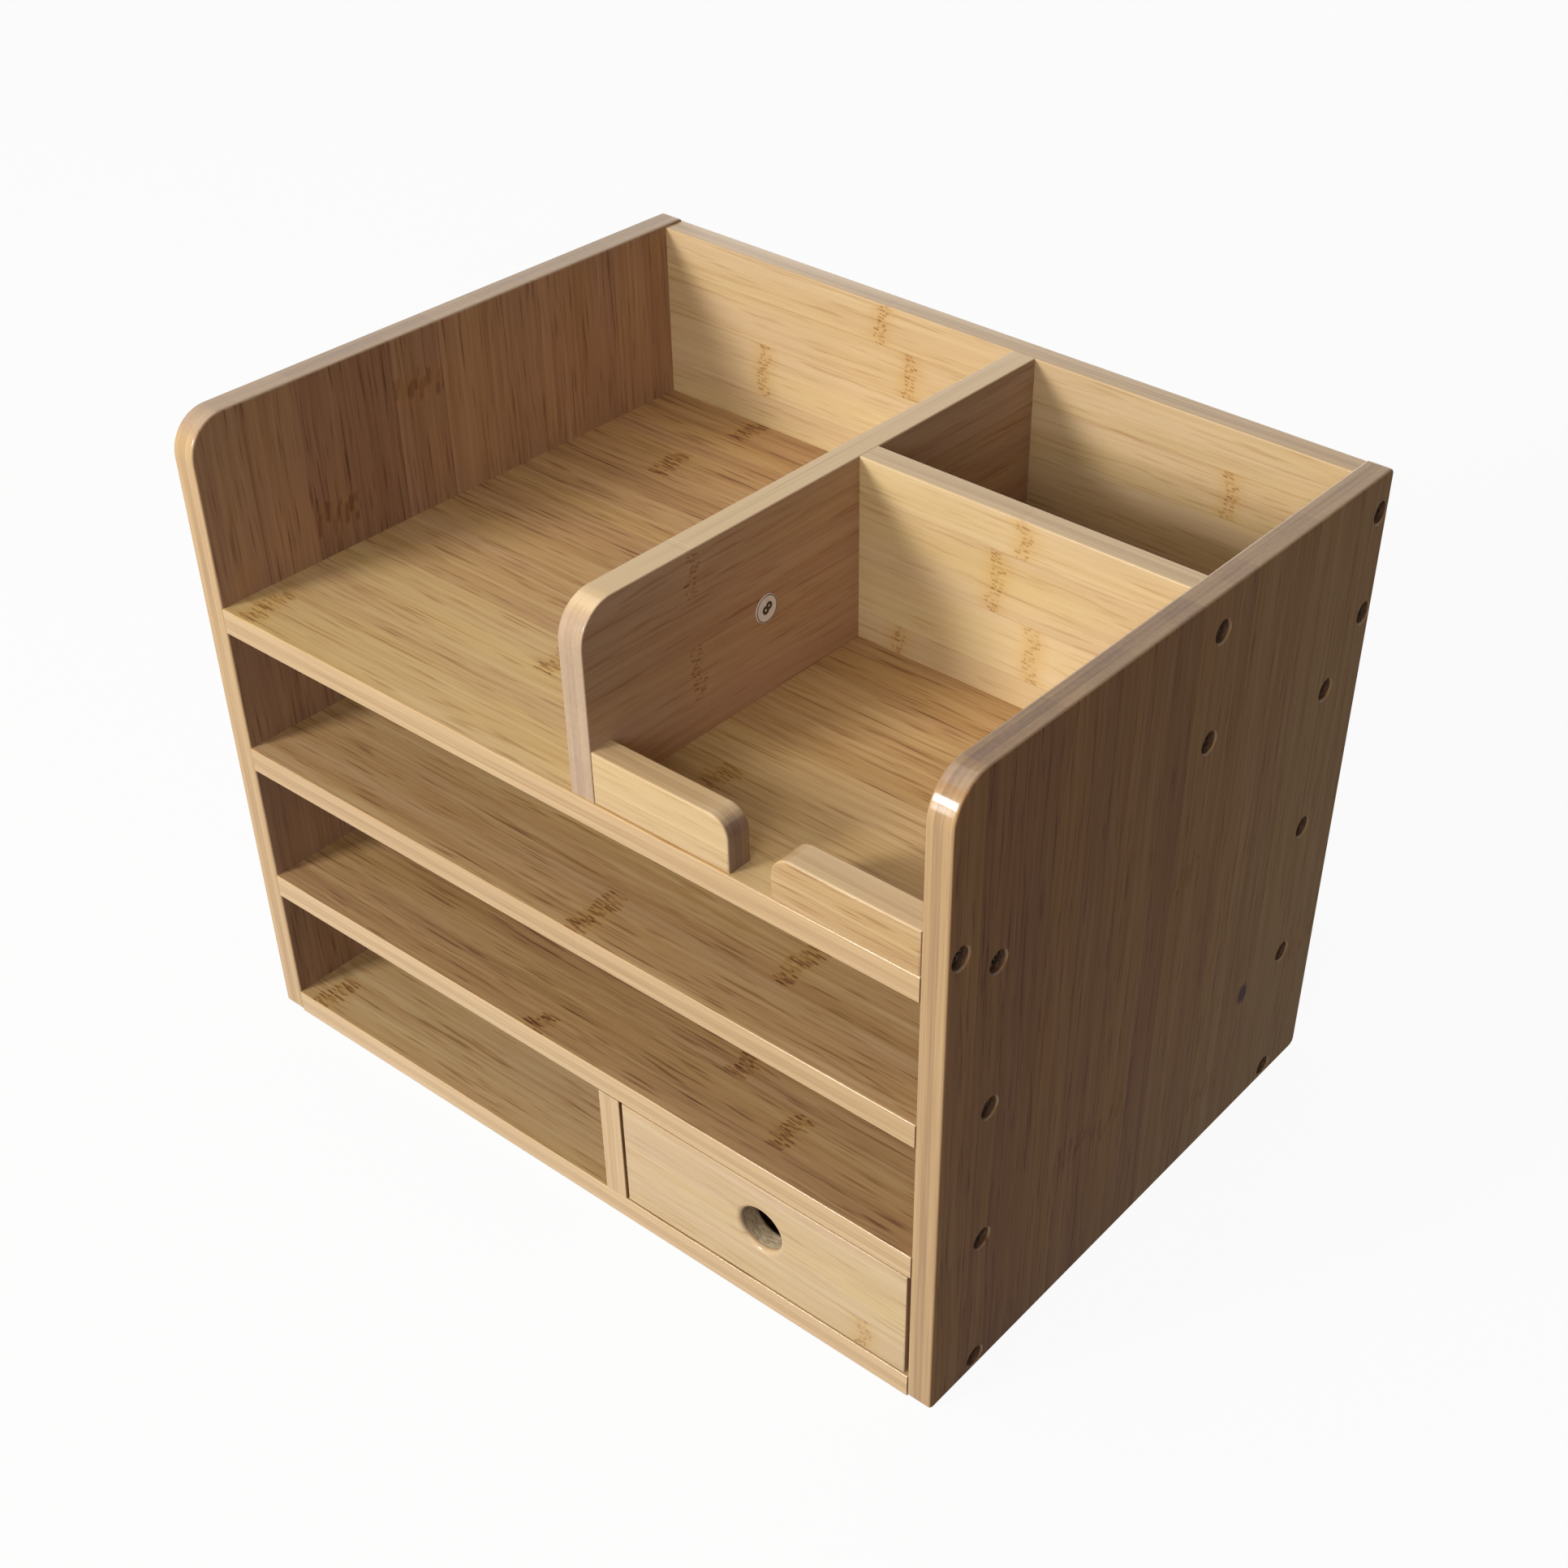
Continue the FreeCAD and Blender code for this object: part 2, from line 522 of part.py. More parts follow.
def carcass():
    """Every fixed piece, by the name of its node."""
    sets = carcass_fixings()
    left = sets["side_screws_left"]
    right = sets["side_screws_right"]
    in_divider = sets["divider_screws"]
    in_back = sets["back_screws"]
    in_deck = sets["deck_screws"]
    in_base = sets["base_screws"]
    pegs = sets["divider_dowels"]
    stop_pegs = sets["stop_dowels"]
    brads = sets["strip_brads"]
    back = upright_across(-INNER_RIGHT, BACK_FRONT)
    cross = upright_across(DIVIDER_RIGHT, CROSS_FRONT)
    pieces = {
        "side_panel_left": drilled(side_panel(-RIGHT), left),
        "side_panel_right": drilled(side_panel(INNER_RIGHT), right),
        "base_board": drilled(shelf(0), left, right, in_base, brads),
        "lower_shelf": drilled(shelf(LOWER_SHELF_Z), left, right, pegs),
        "upper_shelf": drilled(shelf(UPPER_SHELF_Z), left, right),
        "top_deck": drilled(shelf(DECK_Z), left, right, in_deck, stop_pegs),
        "back_board": drilled(back, left, right, in_back),
        "cross_divider": drilled(cross, right, in_divider),
        "top_divider": drilled(top_divider(), in_divider, in_back, in_deck),
        "lower_divider": drilled(lower_divider(), in_base, pegs),
        "stop_left": drilled(left_stop(), in_divider, stop_pegs),
        "stop_right": drilled(right_stop(), right, stop_pegs),
        "drawer_stop_strip": drilled(stop_strip(), brads),
        "panel_sticker": sticker(),
    }
    for name, fixing in sets.items():
        pieces[name] = group(*fixing)
    return pieces


def drawer():
    """Every piece that slides with the drawer, by the name of its node."""
    return {
        "drawer_front": drawer_front(),
        "drawer_side_left": drawer_side(DRAWER_LEFT, TO_RIGHT),
        "drawer_side_right": drawer_side(DRAWER_RIGHT, TO_LEFT),
        "drawer_back": drawer_back(),
        "drawer_bottom": drawer_bottom(),
        "drawer_brads": group(*drawer_brads()),
    }


def main():
    """Build every piece and write one STEP file for each."""
    os.makedirs("parts", exist_ok=True)
    for name, shape in {**carcass(), **drawer()}.items():
        shape.exportStep(os.path.join("parts", name + ".step"))


if __name__ == "__main__":
    main()
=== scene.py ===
"""Looks of a bamboo desk organizer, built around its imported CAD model.

The frame is the CAD model's: metres, +Z up, the front towards -Y, the desk at Z = 0.
"""

import logging
import math
from dataclasses import dataclass, replace
from enum import Enum
from functools import reduce
from itertools import product
from typing import Any, Iterable

import bmesh
import bpy
from bmesh.types import BMesh, BMEdge
from bpy.types import ID, Material, Mesh, Node, NodeSocket as Socket, NodeTree as Tree, Object
from mathutils import Matrix, Vector


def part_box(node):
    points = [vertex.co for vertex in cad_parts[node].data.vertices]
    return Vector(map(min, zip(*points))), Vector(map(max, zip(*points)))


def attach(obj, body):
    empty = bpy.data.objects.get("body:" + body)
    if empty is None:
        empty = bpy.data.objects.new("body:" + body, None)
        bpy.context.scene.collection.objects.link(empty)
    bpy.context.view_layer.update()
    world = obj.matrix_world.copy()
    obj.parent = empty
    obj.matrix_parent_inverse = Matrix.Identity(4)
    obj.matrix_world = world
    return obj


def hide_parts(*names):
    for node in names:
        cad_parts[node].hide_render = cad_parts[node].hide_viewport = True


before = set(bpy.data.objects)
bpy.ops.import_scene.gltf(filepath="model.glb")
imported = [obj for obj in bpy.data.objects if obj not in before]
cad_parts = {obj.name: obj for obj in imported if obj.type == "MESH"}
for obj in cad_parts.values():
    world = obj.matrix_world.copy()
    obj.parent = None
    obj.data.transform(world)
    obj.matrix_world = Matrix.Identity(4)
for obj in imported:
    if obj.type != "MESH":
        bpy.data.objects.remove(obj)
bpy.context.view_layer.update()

Pair = tuple[float, float]
Triple = tuple[float, float, float]
Colour = tuple[float, float, float, float]
Stops = Iterable[tuple[float, Colour]]

MM = 0.001
NEAR = 0.00003  # how near a vertex lies to a plane that it counts as on
PAST = 0.005  # how far a cutting shape runs past the face that it opens
SHARP = math.radians(38)  # a steeper fold than this is drawn as an edge
PHOTO_SIDE = 1932  # the photograph's width and height, in pixels
MIX_FLOAT_A, MIX_FLOAT_B, MIX_FLOAT_OUT = 2, 3, 0
MIX_COLOUR_A, MIX_COLOUR_B, MIX_COLOUR_OUT = 6, 7, 2

GRAIN_ROUGHNESS = 0.62  # how strong each finer octave of the grain is
PLY_REACH = 5.0  # how far the plies are drawn each side of a board's middle, in mm
PLIES = ((0.0, 0.6), (0.3, 0.32), (0.62, 0.62))  # where each ply begins, as a share, and how pale it is
# A node mark's place is kept in a colour, as a share of this length in mm, centred on the frame's origin
RING_SPAN = 600.0

log = logging.getLogger("organizer")


class Face(Enum):
    """A side of a board's box: its axis, as a place in a vector, and 0 for its low or 1 for its high end."""

    LEFT = (0, 0)
    RIGHT = (0, 1)
    FRONT = (1, 0)
    REAR = (1, 1)
    BOTTOM = (2, 0)
    TOP = (2, 1)


class Lie(Enum):
    """How a board lies: the axes along its grain, across its strips and through it, as places in a vector."""

    FLAT = (0, 1, 2)
    FACING = (0, 2, 1)
    UPRIGHT = (2, 1, 0)
    FORE_AND_AFT = (1, 2, 0)


class Body(Enum):
    """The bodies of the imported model."""

    CARCASS = "carcass"
    DRAWER = "drawer"


class Slot(Enum):
    """The names of the record's material slots."""

    PANEL = "bamboo_panel"
    BOARD = "bamboo_board"
    DRAWER = "drawer_wood"
    SCREW = "screw_steel"
    STICKER = "sticker_film"


def linear(code: str) -> Colour:
    """Turn an sRGB hex colour into the linear values that a socket takes.

    Args:
        code: The colour, such as "#c8a070".

    Returns:
        Red, green, blue and an alpha of 1.
    """
    shares = [int(code[place:place + 2], 16) / 255 for place in (1, 3, 5)]
    values = [s / 12.92 if s <= 0.04045 else ((s + 0.055) / 1.055) ** 2.4 for s in shares]
    return (*values, 1.0)


def grey(value: float) -> Colour:
    """A grey, as a ramp's colour."""
    return (value, value, value, 1.0)


def add(
    tree: Tree,
    kind: str,
    inputs: dict[int | str, Any] | None = None,
    stops: Stops = (),
    steps: str = "LINEAR",
    **settings: Any,
) -> Node:
    """Add a node with its settings and links.

    Args:
        tree: The material's or world's node tree.
        kind: The node's type, without its ShaderNode prefix.
        inputs: For each input, by name or place, its value or the socket that feeds it.
        stops: A colour ramp's stops.
        steps: How the ramp blends between them.
        settings: The node's own settings.

    Returns:
        The new node.
    """
    made = tree.nodes.new("ShaderNode" + kind)
    for name, value in settings.items():
        setattr(made, name, value)
    for key, value in (inputs or {}).items():
        if isinstance(value, Socket):
            tree.links.new(value, made.inputs[key])
        else:
            made.inputs[key].default_value = value
    for index, (place, colour) in enumerate(stops):
        made.color_ramp.interpolation = steps
        elements = made.color_ramp.elements
        element = elements[index] if index < 1 else elements.new(place)
        element.position = place
        element.color = colour
        if index == 0:
            elements.remove(elements[1])
    return made


def new_material(name: str) -> tuple[Material, Tree]:
    """Start a material.

    Args:
        name: The material's name.

    Returns:
        The material and its empty node tree.
    """
    material = bpy.data.materials.new(name)
    material.use_nodes = True
    material.node_tree.nodes.clear()
    return material, material.node_tree


def maths(tree: Tree, operation: str, *values: float | Socket) -> Socket:
    """Work out a number from numbers."""
    return add(tree, "Math", dict(enumerate(values)), operation=operation).outputs[0]


def vectors(tree: Tree, operation: str, *values: Any) -> Socket:
    """Work out a vector from vectors."""
    return add(tree, "VectorMath", dict(enumerate(values)), operation=operation).outputs[0]


def stretched(
    tree: Tree, value: Socket, low: float, high: float, start: float = 0.0, end: float = 1.0, **how: str
) -> Socket:
    """Stretch the range from low to high to another range."""
    inputs = {"Value": value, "From Min": low, "From Max": high, "To Min": start, "To Max": end}
    return add(tree, "MapRange", inputs, **how).outputs[0]


def eased(tree: Tree, value: Socket, none: float, full: float) -> Socket:
    """A strength that eases from 0 to 1 as a value goes from one figure to another."""
    return stretched(tree, value, none, full, interpolation_type="SMOOTHSTEP")


def ramped(tree: Tree, value: Socket, stops: Stops, steps: str = "LINEAR") -> Socket:
    """The colour that a ramp has at a value."""
    return add(tree, "ValToRGB", {"Fac": value}, stops=stops, steps=steps).outputs[0]


def between(tree: Tree, share: Socket, first: Any, second: Any) -> Socket:
    """A number between two others, as near to the second as the share says."""
    inputs = {0: share, MIX_FLOAT_A: first, MIX_FLOAT_B: second}
    return add(tree, "Mix", inputs, data_type="FLOAT").outputs[MIX_FLOAT_OUT]


def mixed(tree: Tree, share: Any, first: Any, second: Any, blend: str = "MIX") -> Socket:
    """Lay a second colour on a first, as strongly as the share says."""
    inputs = {0: share, MIX_COLOUR_A: first, MIX_COLOUR_B: second}
    return add(tree, "Mix", inputs, data_type="RGBA", blend_type=blend).outputs[MIX_COLOUR_OUT]


def summed(tree: Tree, base: float | Socket, *terms: tuple[Socket, float]) -> Socket:
    """Add values, each times its weight, to a base."""
    return reduce(lambda total, term: maths(tree, "MULTIPLY_ADD", *term, total), terms, base)


def varied(tree: Tree, mean: float, *terms: tuple[Socket, float]) -> Socket:
    """Vary a mean by values that are about 0.5 on average, each times its weight."""
    return summed(tree, mean - sum(weight for _, weight in terms) / 2, *terms)


def strongest(tree: Tree, values: Iterable[Socket]) -> Socket:
    """The highest of some values."""
    return reduce(lambda best, value: maths(tree, "MAXIMUM", best, value), values)


def surfaced(tree: Tree, inputs: dict[str, Any]) -> None:
    """Finish a material with a Principled surface."""
    add(tree, "OutputMaterial", {"Surface": add(tree, "BsdfPrincipled", inputs).outputs[0]})


def grain(
    tree: Tree, wood: Socket, shift: Any, size: Triple, detail: float
) -> Socket:
    """Irregular streaks along the grain, different in each strip.

    Args:
        tree: The material's node tree.
        wood: The place along the grain, across it and through the board, in mm.
        shift: How far each strip's pattern is shifted.
        size: A streak's size along, across and through, in mm.
        detail: How many finer octaves there are.

    Returns:
        The socket that gives their strength, about 0.5 on average.
    """
    place = vectors(tree, "MULTIPLY_ADD", wood, [1 / length for length in size], shift)
    inputs = {"Vector": place, "Scale": 1.0, "Detail": detail, "Roughness": GRAIN_ROUGHNESS}
    return add(tree, "TexNoise", inputs).outputs[0]


def linked(data: ID) -> Object:
    """Put a mesh, curve, lamp or camera in the scene.

    Args:
        data: What it is.

    Returns:
        Its object, which has its name.
    """
    obj = bpy.data.objects.new(data.name, data)
    bpy.context.scene.collection.objects.link(obj)
    return obj


def meshed(bm: BMesh, name: str) -> Mesh:
    """Turn a working mesh into the scene's kind.

    Args:
        bm: The working mesh. It is used up.
        name: The new mesh's name.

    Returns:
        The new mesh.
    """
    mesh = bpy.data.meshes.new(name)
    bm.to_mesh(mesh)
    bm.free()
    return mesh


def worked(obj: Object) -> BMesh:
    """Turn an object into a working mesh, with its modifiers applied.

    Args:
        obj: The object. It is used up.

    Returns:
        The working mesh.
    """
    graph = bpy.context.evaluated_depsgraph_get()
    mesh = bpy.data.meshes.new_from_object(obj.evaluated_get(graph))
    bm = bmesh.new()
    bm.from_mesh(mesh)
    bpy.data.meshes.remove(mesh)
    bpy.data.objects.remove(obj)
    return bm


def block(low: Vector, high: Vector) -> BMesh:
    """A box between two corners.

    Args:
        low: The lowest corner.
        high: The highest corner.

    Returns:
        The box.
    """
    bm = bmesh.new()
    bmesh.ops.create_cube(bm, size=1.0)
    bmesh.ops.scale(bm, vec=high - low, verts=bm.verts)
    bmesh.ops.translate(bm, vec=(low + high) / 2, verts=bm.verts)
    return bm


def turned(profile: Iterable[Pair], steps: int) -> BMesh:
    """A closed shape turned about +Z.

    Args:
        profile: Points as (radius, height), in mm, that start and end on the axis.
        steps: How many sides it gets.

    Returns:
        The shape, in metres.
    """
    bm = bmesh.new()
    points = [bm.verts.new((radius * MM, 0, height * MM)) for radius, height in profile]
    edges = [bm.edges.new(pair) for pair in zip(points, points[1:])]
    bmesh.ops.spin(
        bm, geom=points + edges, cent=(0, 0, 0), axis=(0, 0, 1), dvec=(0, 0, 0),
        angle=2 * math.pi, steps=steps, use_merge=True, use_duplicate=False,
    )
    bmesh.ops.remove_doubles(bm, verts=bm.verts, dist=NEAR / 10)
    bmesh.ops.recalc_face_normals(bm, faces=bm.faces)
    return bm


def copied(shape: BMesh, places: Iterable[Matrix]) -> BMesh:
    """The same shape at several places, as one mesh.

    Args:
        shape: The shape, which is used up.
        places: Where each copy goes.

    Returns:
        All the copies.
    """
    mesh = meshed(shape, "shape")
    bm = bmesh.new()
    for place in places:
        before = len(bm.verts)
        bm.from_mesh(mesh)
        bm.verts.ensure_lookup_table()
        bmesh.ops.transform(bm, matrix=place, verts=bm.verts[before:])
    bpy.data.meshes.remove(mesh)
    return bm


def standing(point: Vector, outward: Vector) -> Matrix:
    """The transform that puts an origin at a point and turns +Z outward."""
    turn = Vector((0, 0, 1)).rotation_difference(outward).to_matrix().to_4x4()
    return Matrix.Translation(point) @ turn


def cut(shape: BMesh, tool: BMesh) -> BMesh:
    """Take one closed shape out of another.

    Args:
        shape: What is cut. It is used up.
        tool: What is taken out. It is used up.

    Returns:
        What is left of the shape.
    """
    meshes = [meshed(shape, "shape"), meshed(tool, "tool")]
    for mesh in meshes:
        mesh.materials.append(None)
        mesh.materials.append(None)
    whole, blade = (linked(mesh) for mesh in meshes)
    modifier = whole.modifiers.new("cut", "BOOLEAN")
    modifier.operation = "DIFFERENCE"
    modifier.solver = "EXACT"
    modifier.object = blade
    result = worked(whole)
    bpy.data.objects.remove(blade)
    for mesh in meshes:
        bpy.data.meshes.remove(mesh)
    return result


def rounded(bm: BMesh, edges: list[BMEdge], radius: float, segments: int) -> None:
    """Round edges.

    Args:
        bm: The mesh.
        edges: Its edges to round.
        radius: The radius in mm.
        segments: How many faces go round each edge.
    """
    bmesh.ops.bevel(
        bm, geom=edges, offset=radius * MM, offset_type="OFFSET", affect="EDGES",
        segments=segments, profile=0.5, material=-1, clamp_overlap=False,
    )


def finished(
    bm: BMesh, name: str, body: Body, materials: Iterable[Material], node: str | None = None
) -> None:
    """Make a finished piece of a mesh.

    Args:
        bm: The mesh, in place. It is used up.
        name: The piece's name.
        body: The body that it rides on.
        materials: Its material, and that of its drilled walls if it has any.
        node: The CAD node that it stands for, if any.
    """
    bmesh.ops.recalc_face_normals(bm, faces=bm.faces)
    for face in bm.faces:
        face.smooth = True
    mesh = meshed(bm, name)
    mesh.set_sharp_from_angle(angle=SHARP)
    for material in materials:
        mesh.materials.append(material)
    piece = linked(mesh)
    piece.modifiers.new("even_shading", "WEIGHTED_NORMAL").keep_sharp = True
    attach(piece, body.value)
    if node:
        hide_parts(node)
    log.info("%s: %d faces on %s", name, len(mesh.polygons), body.value)


def dressed(node: str, material: Material) -> None:
    """Give a CAD node that stays a better material.

    Args:
        node: The node's name.
        material: The material.
    """
    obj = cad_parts[node]
    if not obj.material_slots:
        obj.data.materials.append(material)
    for slot in obj.material_slots:
        slot.link = "OBJECT"
        slot.material = material
    log.info("%s: the CAD node in %s", node, material.name)


@dataclass(frozen=True)
class Tones:
    """A run of wood colours from the darkest fibre to the palest.

    Attributes:
        dark: Scorched fibre ends in a node mark.
        brown: The dark fibre bundles.
        honey: The middle of a strip.
        straw: The palest bundles of a strip.
    """

    dark: str
    brown: str
    honey: str
    straw: str

    def stops(self) -> Stops:
        """The colour ramp's stops."""
        colours = (self.dark, self.brown, self.honey, self.straw)
        return zip((0.0, 0.3, 0.62, 1.0), map(linear, colours))


BOARD_TONES = Tones("#3d2416", "#8a6346", "#c5a071", "#ebd2a8")
DECK_TONES = Tones("#3d2416", "#8a6144", "#c69e6e", "#eccd9c")
PALE_TONES = Tones("#3d2416", "#8a6143", "#c49f77", "#e9d2af")
OUTER_TONES = Tones("#3a2015", "#915f42", "#c49263", "#e6c08f")
# The same bamboo as the outer tones, made greyer and paler for the inner walls: its own colour with a painted
# sheen mixed in
WALL_TONES = Tones("#4a2e20", "#98745d", "#c6a184", "#e4c9ad")
CUT_TONES = Tones("#493222", "#816245", "#b18f63", "#d2b386")


@dataclass(frozen=True)
class Strip:
    """One strip of bamboo in the face of a board.

    Attributes:
        width: Its width across the grain, in mm.
        tone: How pale it is, from 0 to 1.
        rings: Where along the grain its node marks are, in mm in the frame, two at most.
    """

    width: float
    tone: float
    rings: tuple[float, ...] = ()


def strips(*rows: tuple) -> tuple[Strip, ...]:
    """Strips from rows of (width, tone, places of node marks)."""
    return tuple(Strip(row[0], row[1], tuple(row[2:])) for row in rows)


@dataclass(frozen=True)
class NodeMarks:
    """What a node of the cane leaves where a strip crosses it: rows of short dark strokes with a golden glow.

    Attributes:
        lean: How far across the grain a stroke goes for each mm along it.
        length: A stroke's length, in mm, as all sizes.
        width: A stroke's width.
        pitch: How far apart the strokes are.
        scatter: How far the strokes lie off their row.
        rows: How many rows there are.
        row_pitch: How far apart the rows are.
        sway: How far a mark wanders along the grain.
        reach: How far the glow reaches.
        scorch: How dark the strokes are, from 0 to 1.
        glow: How golden the wood is round them, from 0 to 1.
    """

    lean: float = 0.1
    length: float = 1.5
    width: float = 0.8
    pitch: float = 1.6
    scatter: float = 1.8
    rows: int = 3
    row_pitch: float = 1.6
    sway: float = 8.0
    reach: float = 9.0
    scorch: float = 0.36
    glow: float = 0.5

    def drawn(
        self, tree: Tree, wood: Socket, along: Socket, across: Socket, strip: list[Socket]
    ) -> tuple[Socket, Socket]:
        """Draw the marks.

        Args:
            tree: The material's node tree.
            wood: The place along the grain, across it and through the board, in mm.
            along: The first of these.
            across: The second, without the fibres' bends.
            strip: The strip's tone and the places of its two marks.

        Returns:
            The strength of the strokes, and that of the glow.
        """
        steep = math.hypot(1, self.lean)
        half_long = self.length / 2 / steep
        half_wide = self.width / 2 * steep / self.pitch
        wander = grain(tree, wood, strip[0], (200.0, 9.0, 60.0), 1.0)
        marks, glows = [], []
        for ring in strip[1:3]:
            centre = summed(tree, varied(tree, -RING_SPAN / 2, (wander, self.sway)), (ring, RING_SPAN))
            offset = maths(tree, "SUBTRACT", along, centre)
            for row in range(self.rows):
                level = (row - (self.rows - 1) / 2) * self.row_pitch
                # Each strip and row has strokes of its own
                line = summed(tree, across, (offset, self.lean), (strip[0], 61.0 + 37.0 * row))
                pattern = {"W": line, "Scale": 1 / self.pitch, "Randomness": 0.9}
                strokes = add(tree, "TexVoronoi", pattern, voronoi_dimensions="1D").outputs
                chance = add(tree, "SeparateColor", {0: strokes["Color"]}).outputs
                moved = summed(tree, offset, (chance[0], self.scatter))
                far = maths(tree, "ABSOLUTE", maths(tree, "SUBTRACT", moved, level + self.scatter / 2))
                far = summed(tree, far, (chance[1], half_long * 1.4))
                length = eased(tree, far, half_long * 2.1, half_long * 1.3)
                width = eased(tree, strokes["Distance"], half_wide * 1.4, half_wide * 0.6)
                dark = stretched(tree, chance[2], -0.2, 0.8)
                marks.append(maths(tree, "MULTIPLY", maths(tree, "MULTIPLY", length, width), dark))
            glows.append(eased(tree, maths(tree, "ABSOLUTE", offset), self.reach, 1.0))
        return strongest(tree, marks), strongest(tree, glows)


@dataclass(frozen=True)
class LacqueredBamboo:
    """Bamboo plywood, pressed from sliced strips, sanded and sprayed with satin lacquer.

    The eye sees strips about 20 mm wide that differ a little in tone, fine fibre lines along them, and
    a row of short dark dashes with a golden glow where a strip crosses a node of the cane. The edges
    show the plies as paler lines, and the ends of the strips are speckled and greyer, the grey partly
    their own and partly a painted sheen.

    Attributes:
        node: The CAD node that it is for. The strips begin at that board's low side.
        lie: How the board lies.
        strips: The strips, in order.
        tones: The colours of the faces.
        tone: How pale the faces are, from 0 to 1.
        cut_tone: How pale the edges are.
        end_tone: How pale the ends of the strips are.
        grey_and_sheen: How grey these are, partly their own grey and partly a painted sheen.
        knot: A dark knot's place along and across the grain, in mm, if there is one.
        figure: How strong the streaks and fibres are, where 1 is plain.
        gloss: How much the lacquer on the faces mirrors.
        marks: Its node marks.
    """

    node: str
    lie: Lie
    strips: tuple[Strip, ...]
    tones: Tones = BOARD_TONES
    tone: float = 0.66
    cut_tone: float = 0.72
    end_tone: float = 0.5
    grey_and_sheen: float = 0.3
    knot: Pair | None = None
    figure: float = 1.0
    gloss: float = 0.14
    marks: NodeMarks = NodeMarks()

    def build(self) -> Material:
        """Make the material.

        Returns:
            Bamboo with this board's strips, plies and ends.
        """
        material, tree = new_material(self.node + "_bamboo")
        along, across, through = self.lie.value
        low, high = (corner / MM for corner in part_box(self.node))
        place = add(tree, "TexCoord").outputs
        mm = vectors(tree, "MULTIPLY", place["Object"], (1 / MM,) * 3)
        split = add(tree, "SeparateXYZ", {0: mm}).outputs
        straight = add(tree, "CombineXYZ", {0: split[along], 1: split[across], 2: split[through]}).outputs[0]
        wander = grain(tree, straight, (0.0, 0.0, 0.0), (90.0, 12.0, 40.0), 1.0)
        bent = summed(tree, split[across], (wander, 3.4))
        wood = add(tree, "CombineXYZ", {0: split[along], 1: bent, 2: split[through]}).outputs[0]
        table, joint = self.strip_table(tree, split[across], low[across])
        strip = add(tree, "SeparateColor", {0: table}).outputs
        shift = vectors(tree, "MULTIPLY", table, (97.0, 53.0, 31.0))

        fibre = grain(tree, wood, shift, (80.0, 1.8, 9.0), 3.0)
        streak = grain(tree, wood, shift, (260.0, 6.5, 40.0), 2.0)
        line = stretched(tree, grain(tree, wood, shift, (26.0, 1.2, 7.0), 1.0), 0.57, 0.72)
        mark, glow = self.marks.drawn(tree, wood, split[along], split[across], strip)
        # The dark lines are few, and their small share of the mean is put back
        face = varied(
            tree, self.tone + 0.005 * self.figure,
            (strip[0], 0.4), (streak, 0.32 * self.figure), (fibre, 0.4 * self.figure),
        )
        face = summed(
            tree, face, (line, -0.2 * self.figure), (joint, -0.08), (mark, -self.marks.scorch), (glow, 0.05),
        )
        if self.knot:
            face = summed(tree, face, (self.knot_mark(tree, wood), -0.75))

        flank = grain(tree, straight, (0.0, 0.0, 0.0), (60.0, 60.0, 1.0), 3.0)
        middle = (low[through] + high[through]) / 2
        ply = stretched(tree, split[through], middle - PLY_REACH, middle + PLY_REACH)
        ply = ramped(tree, ply, [(start, grey(pale)) for start, pale in PLIES], "CONSTANT")
        edge = varied(tree, self.cut_tone, (flank, 0.5), (ply, 0.4))
        speckle = grain(tree, straight, shift, (9.0, 1.6, 1.6), 2.0)
        end = varied(tree, self.end_tone, (flank, 0.4), (ply, 0.3), (speckle, 0.2), (strip[0], 0.3))

        facing = add(tree, "SeparateXYZ", {0: vectors(tree, "ABSOLUTE", place["Normal"])}).outputs
        on_edge, on_end = (stretched(tree, facing[axis], 0.5, 0.8) for axis in (across, along))
        on_either = maths(tree, "MAXIMUM", on_edge, on_end)
        # The wood drifts between rosy and golden, and its palest strips are the most golden
        drift = summed(tree, grain(tree, wood, shift, (140.0, 15.0, 40.0), 1.0), (strip[0], 0.35))
        tint = ramped(tree, drift, [(0.45, linear("#e1dcda")), (1.0, linear("#e1ddc7"))])
        tinted = mixed(tree, 1.0, ramped(tree, face, self.tones.stops()), tint, "MULTIPLY")
        golden = maths(tree, "MULTIPLY", glow, self.marks.glow)
        planed = mixed(tree, golden, tinted, linear("#ecd9a8"), "MULTIPLY")
        sawn = ramped(tree, between(tree, on_end, edge, end), CUT_TONES.stops())
        # The ends are mixed towards grey: partly their own grey, partly a painted sheen on the top edges
        sawn = mixed(tree, maths(tree, "MULTIPLY", on_end, self.grey_and_sheen), sawn, linear("#9f9292"))

        relief = summed(tree, 0.0, (fibre, 0.5), (line, -0.35), (mark, -2.4), (joint, -0.5))
        bump = add(tree, "Bump", {"Height": relief, "Strength": 0.3, "Distance": 0.12 * MM})
        surfaced(tree, {
            "Base Color": mixed(tree, on_either, planed, sawn),
            "Roughness": stretched(tree, fibre, 0.0, 1.0, 0.54, 0.42),
            "Specular IOR Level": self.gloss,
            # Lacquer lies thickest where the sander left the edges smooth
            "Coat Weight": stretched(tree, on_either, 0.0, 1.0, self.gloss, 0.75),
            "Coat Roughness": 0.14,
            "Normal": bump.outputs[0],
        })
        return material

    def strip_table(self, tree: Tree, across: Socket, start: float) -> tuple[Socket, Socket]:
        """Each strip's tone and the places of its two node marks, and the joints between the strips.

        Args:
            tree: The material's node tree.
            across: The place across the strips, in mm.
            start: Where the first strip begins, in mm.

        Returns:
            The tone and the two places as one colour, and the strength of the joint lines.
        """
        count = len(self.strips)
        widths = [strip.width for strip in self.strips]
        total = sum(widths)
        share = stretched(tree, across, start, start + total)
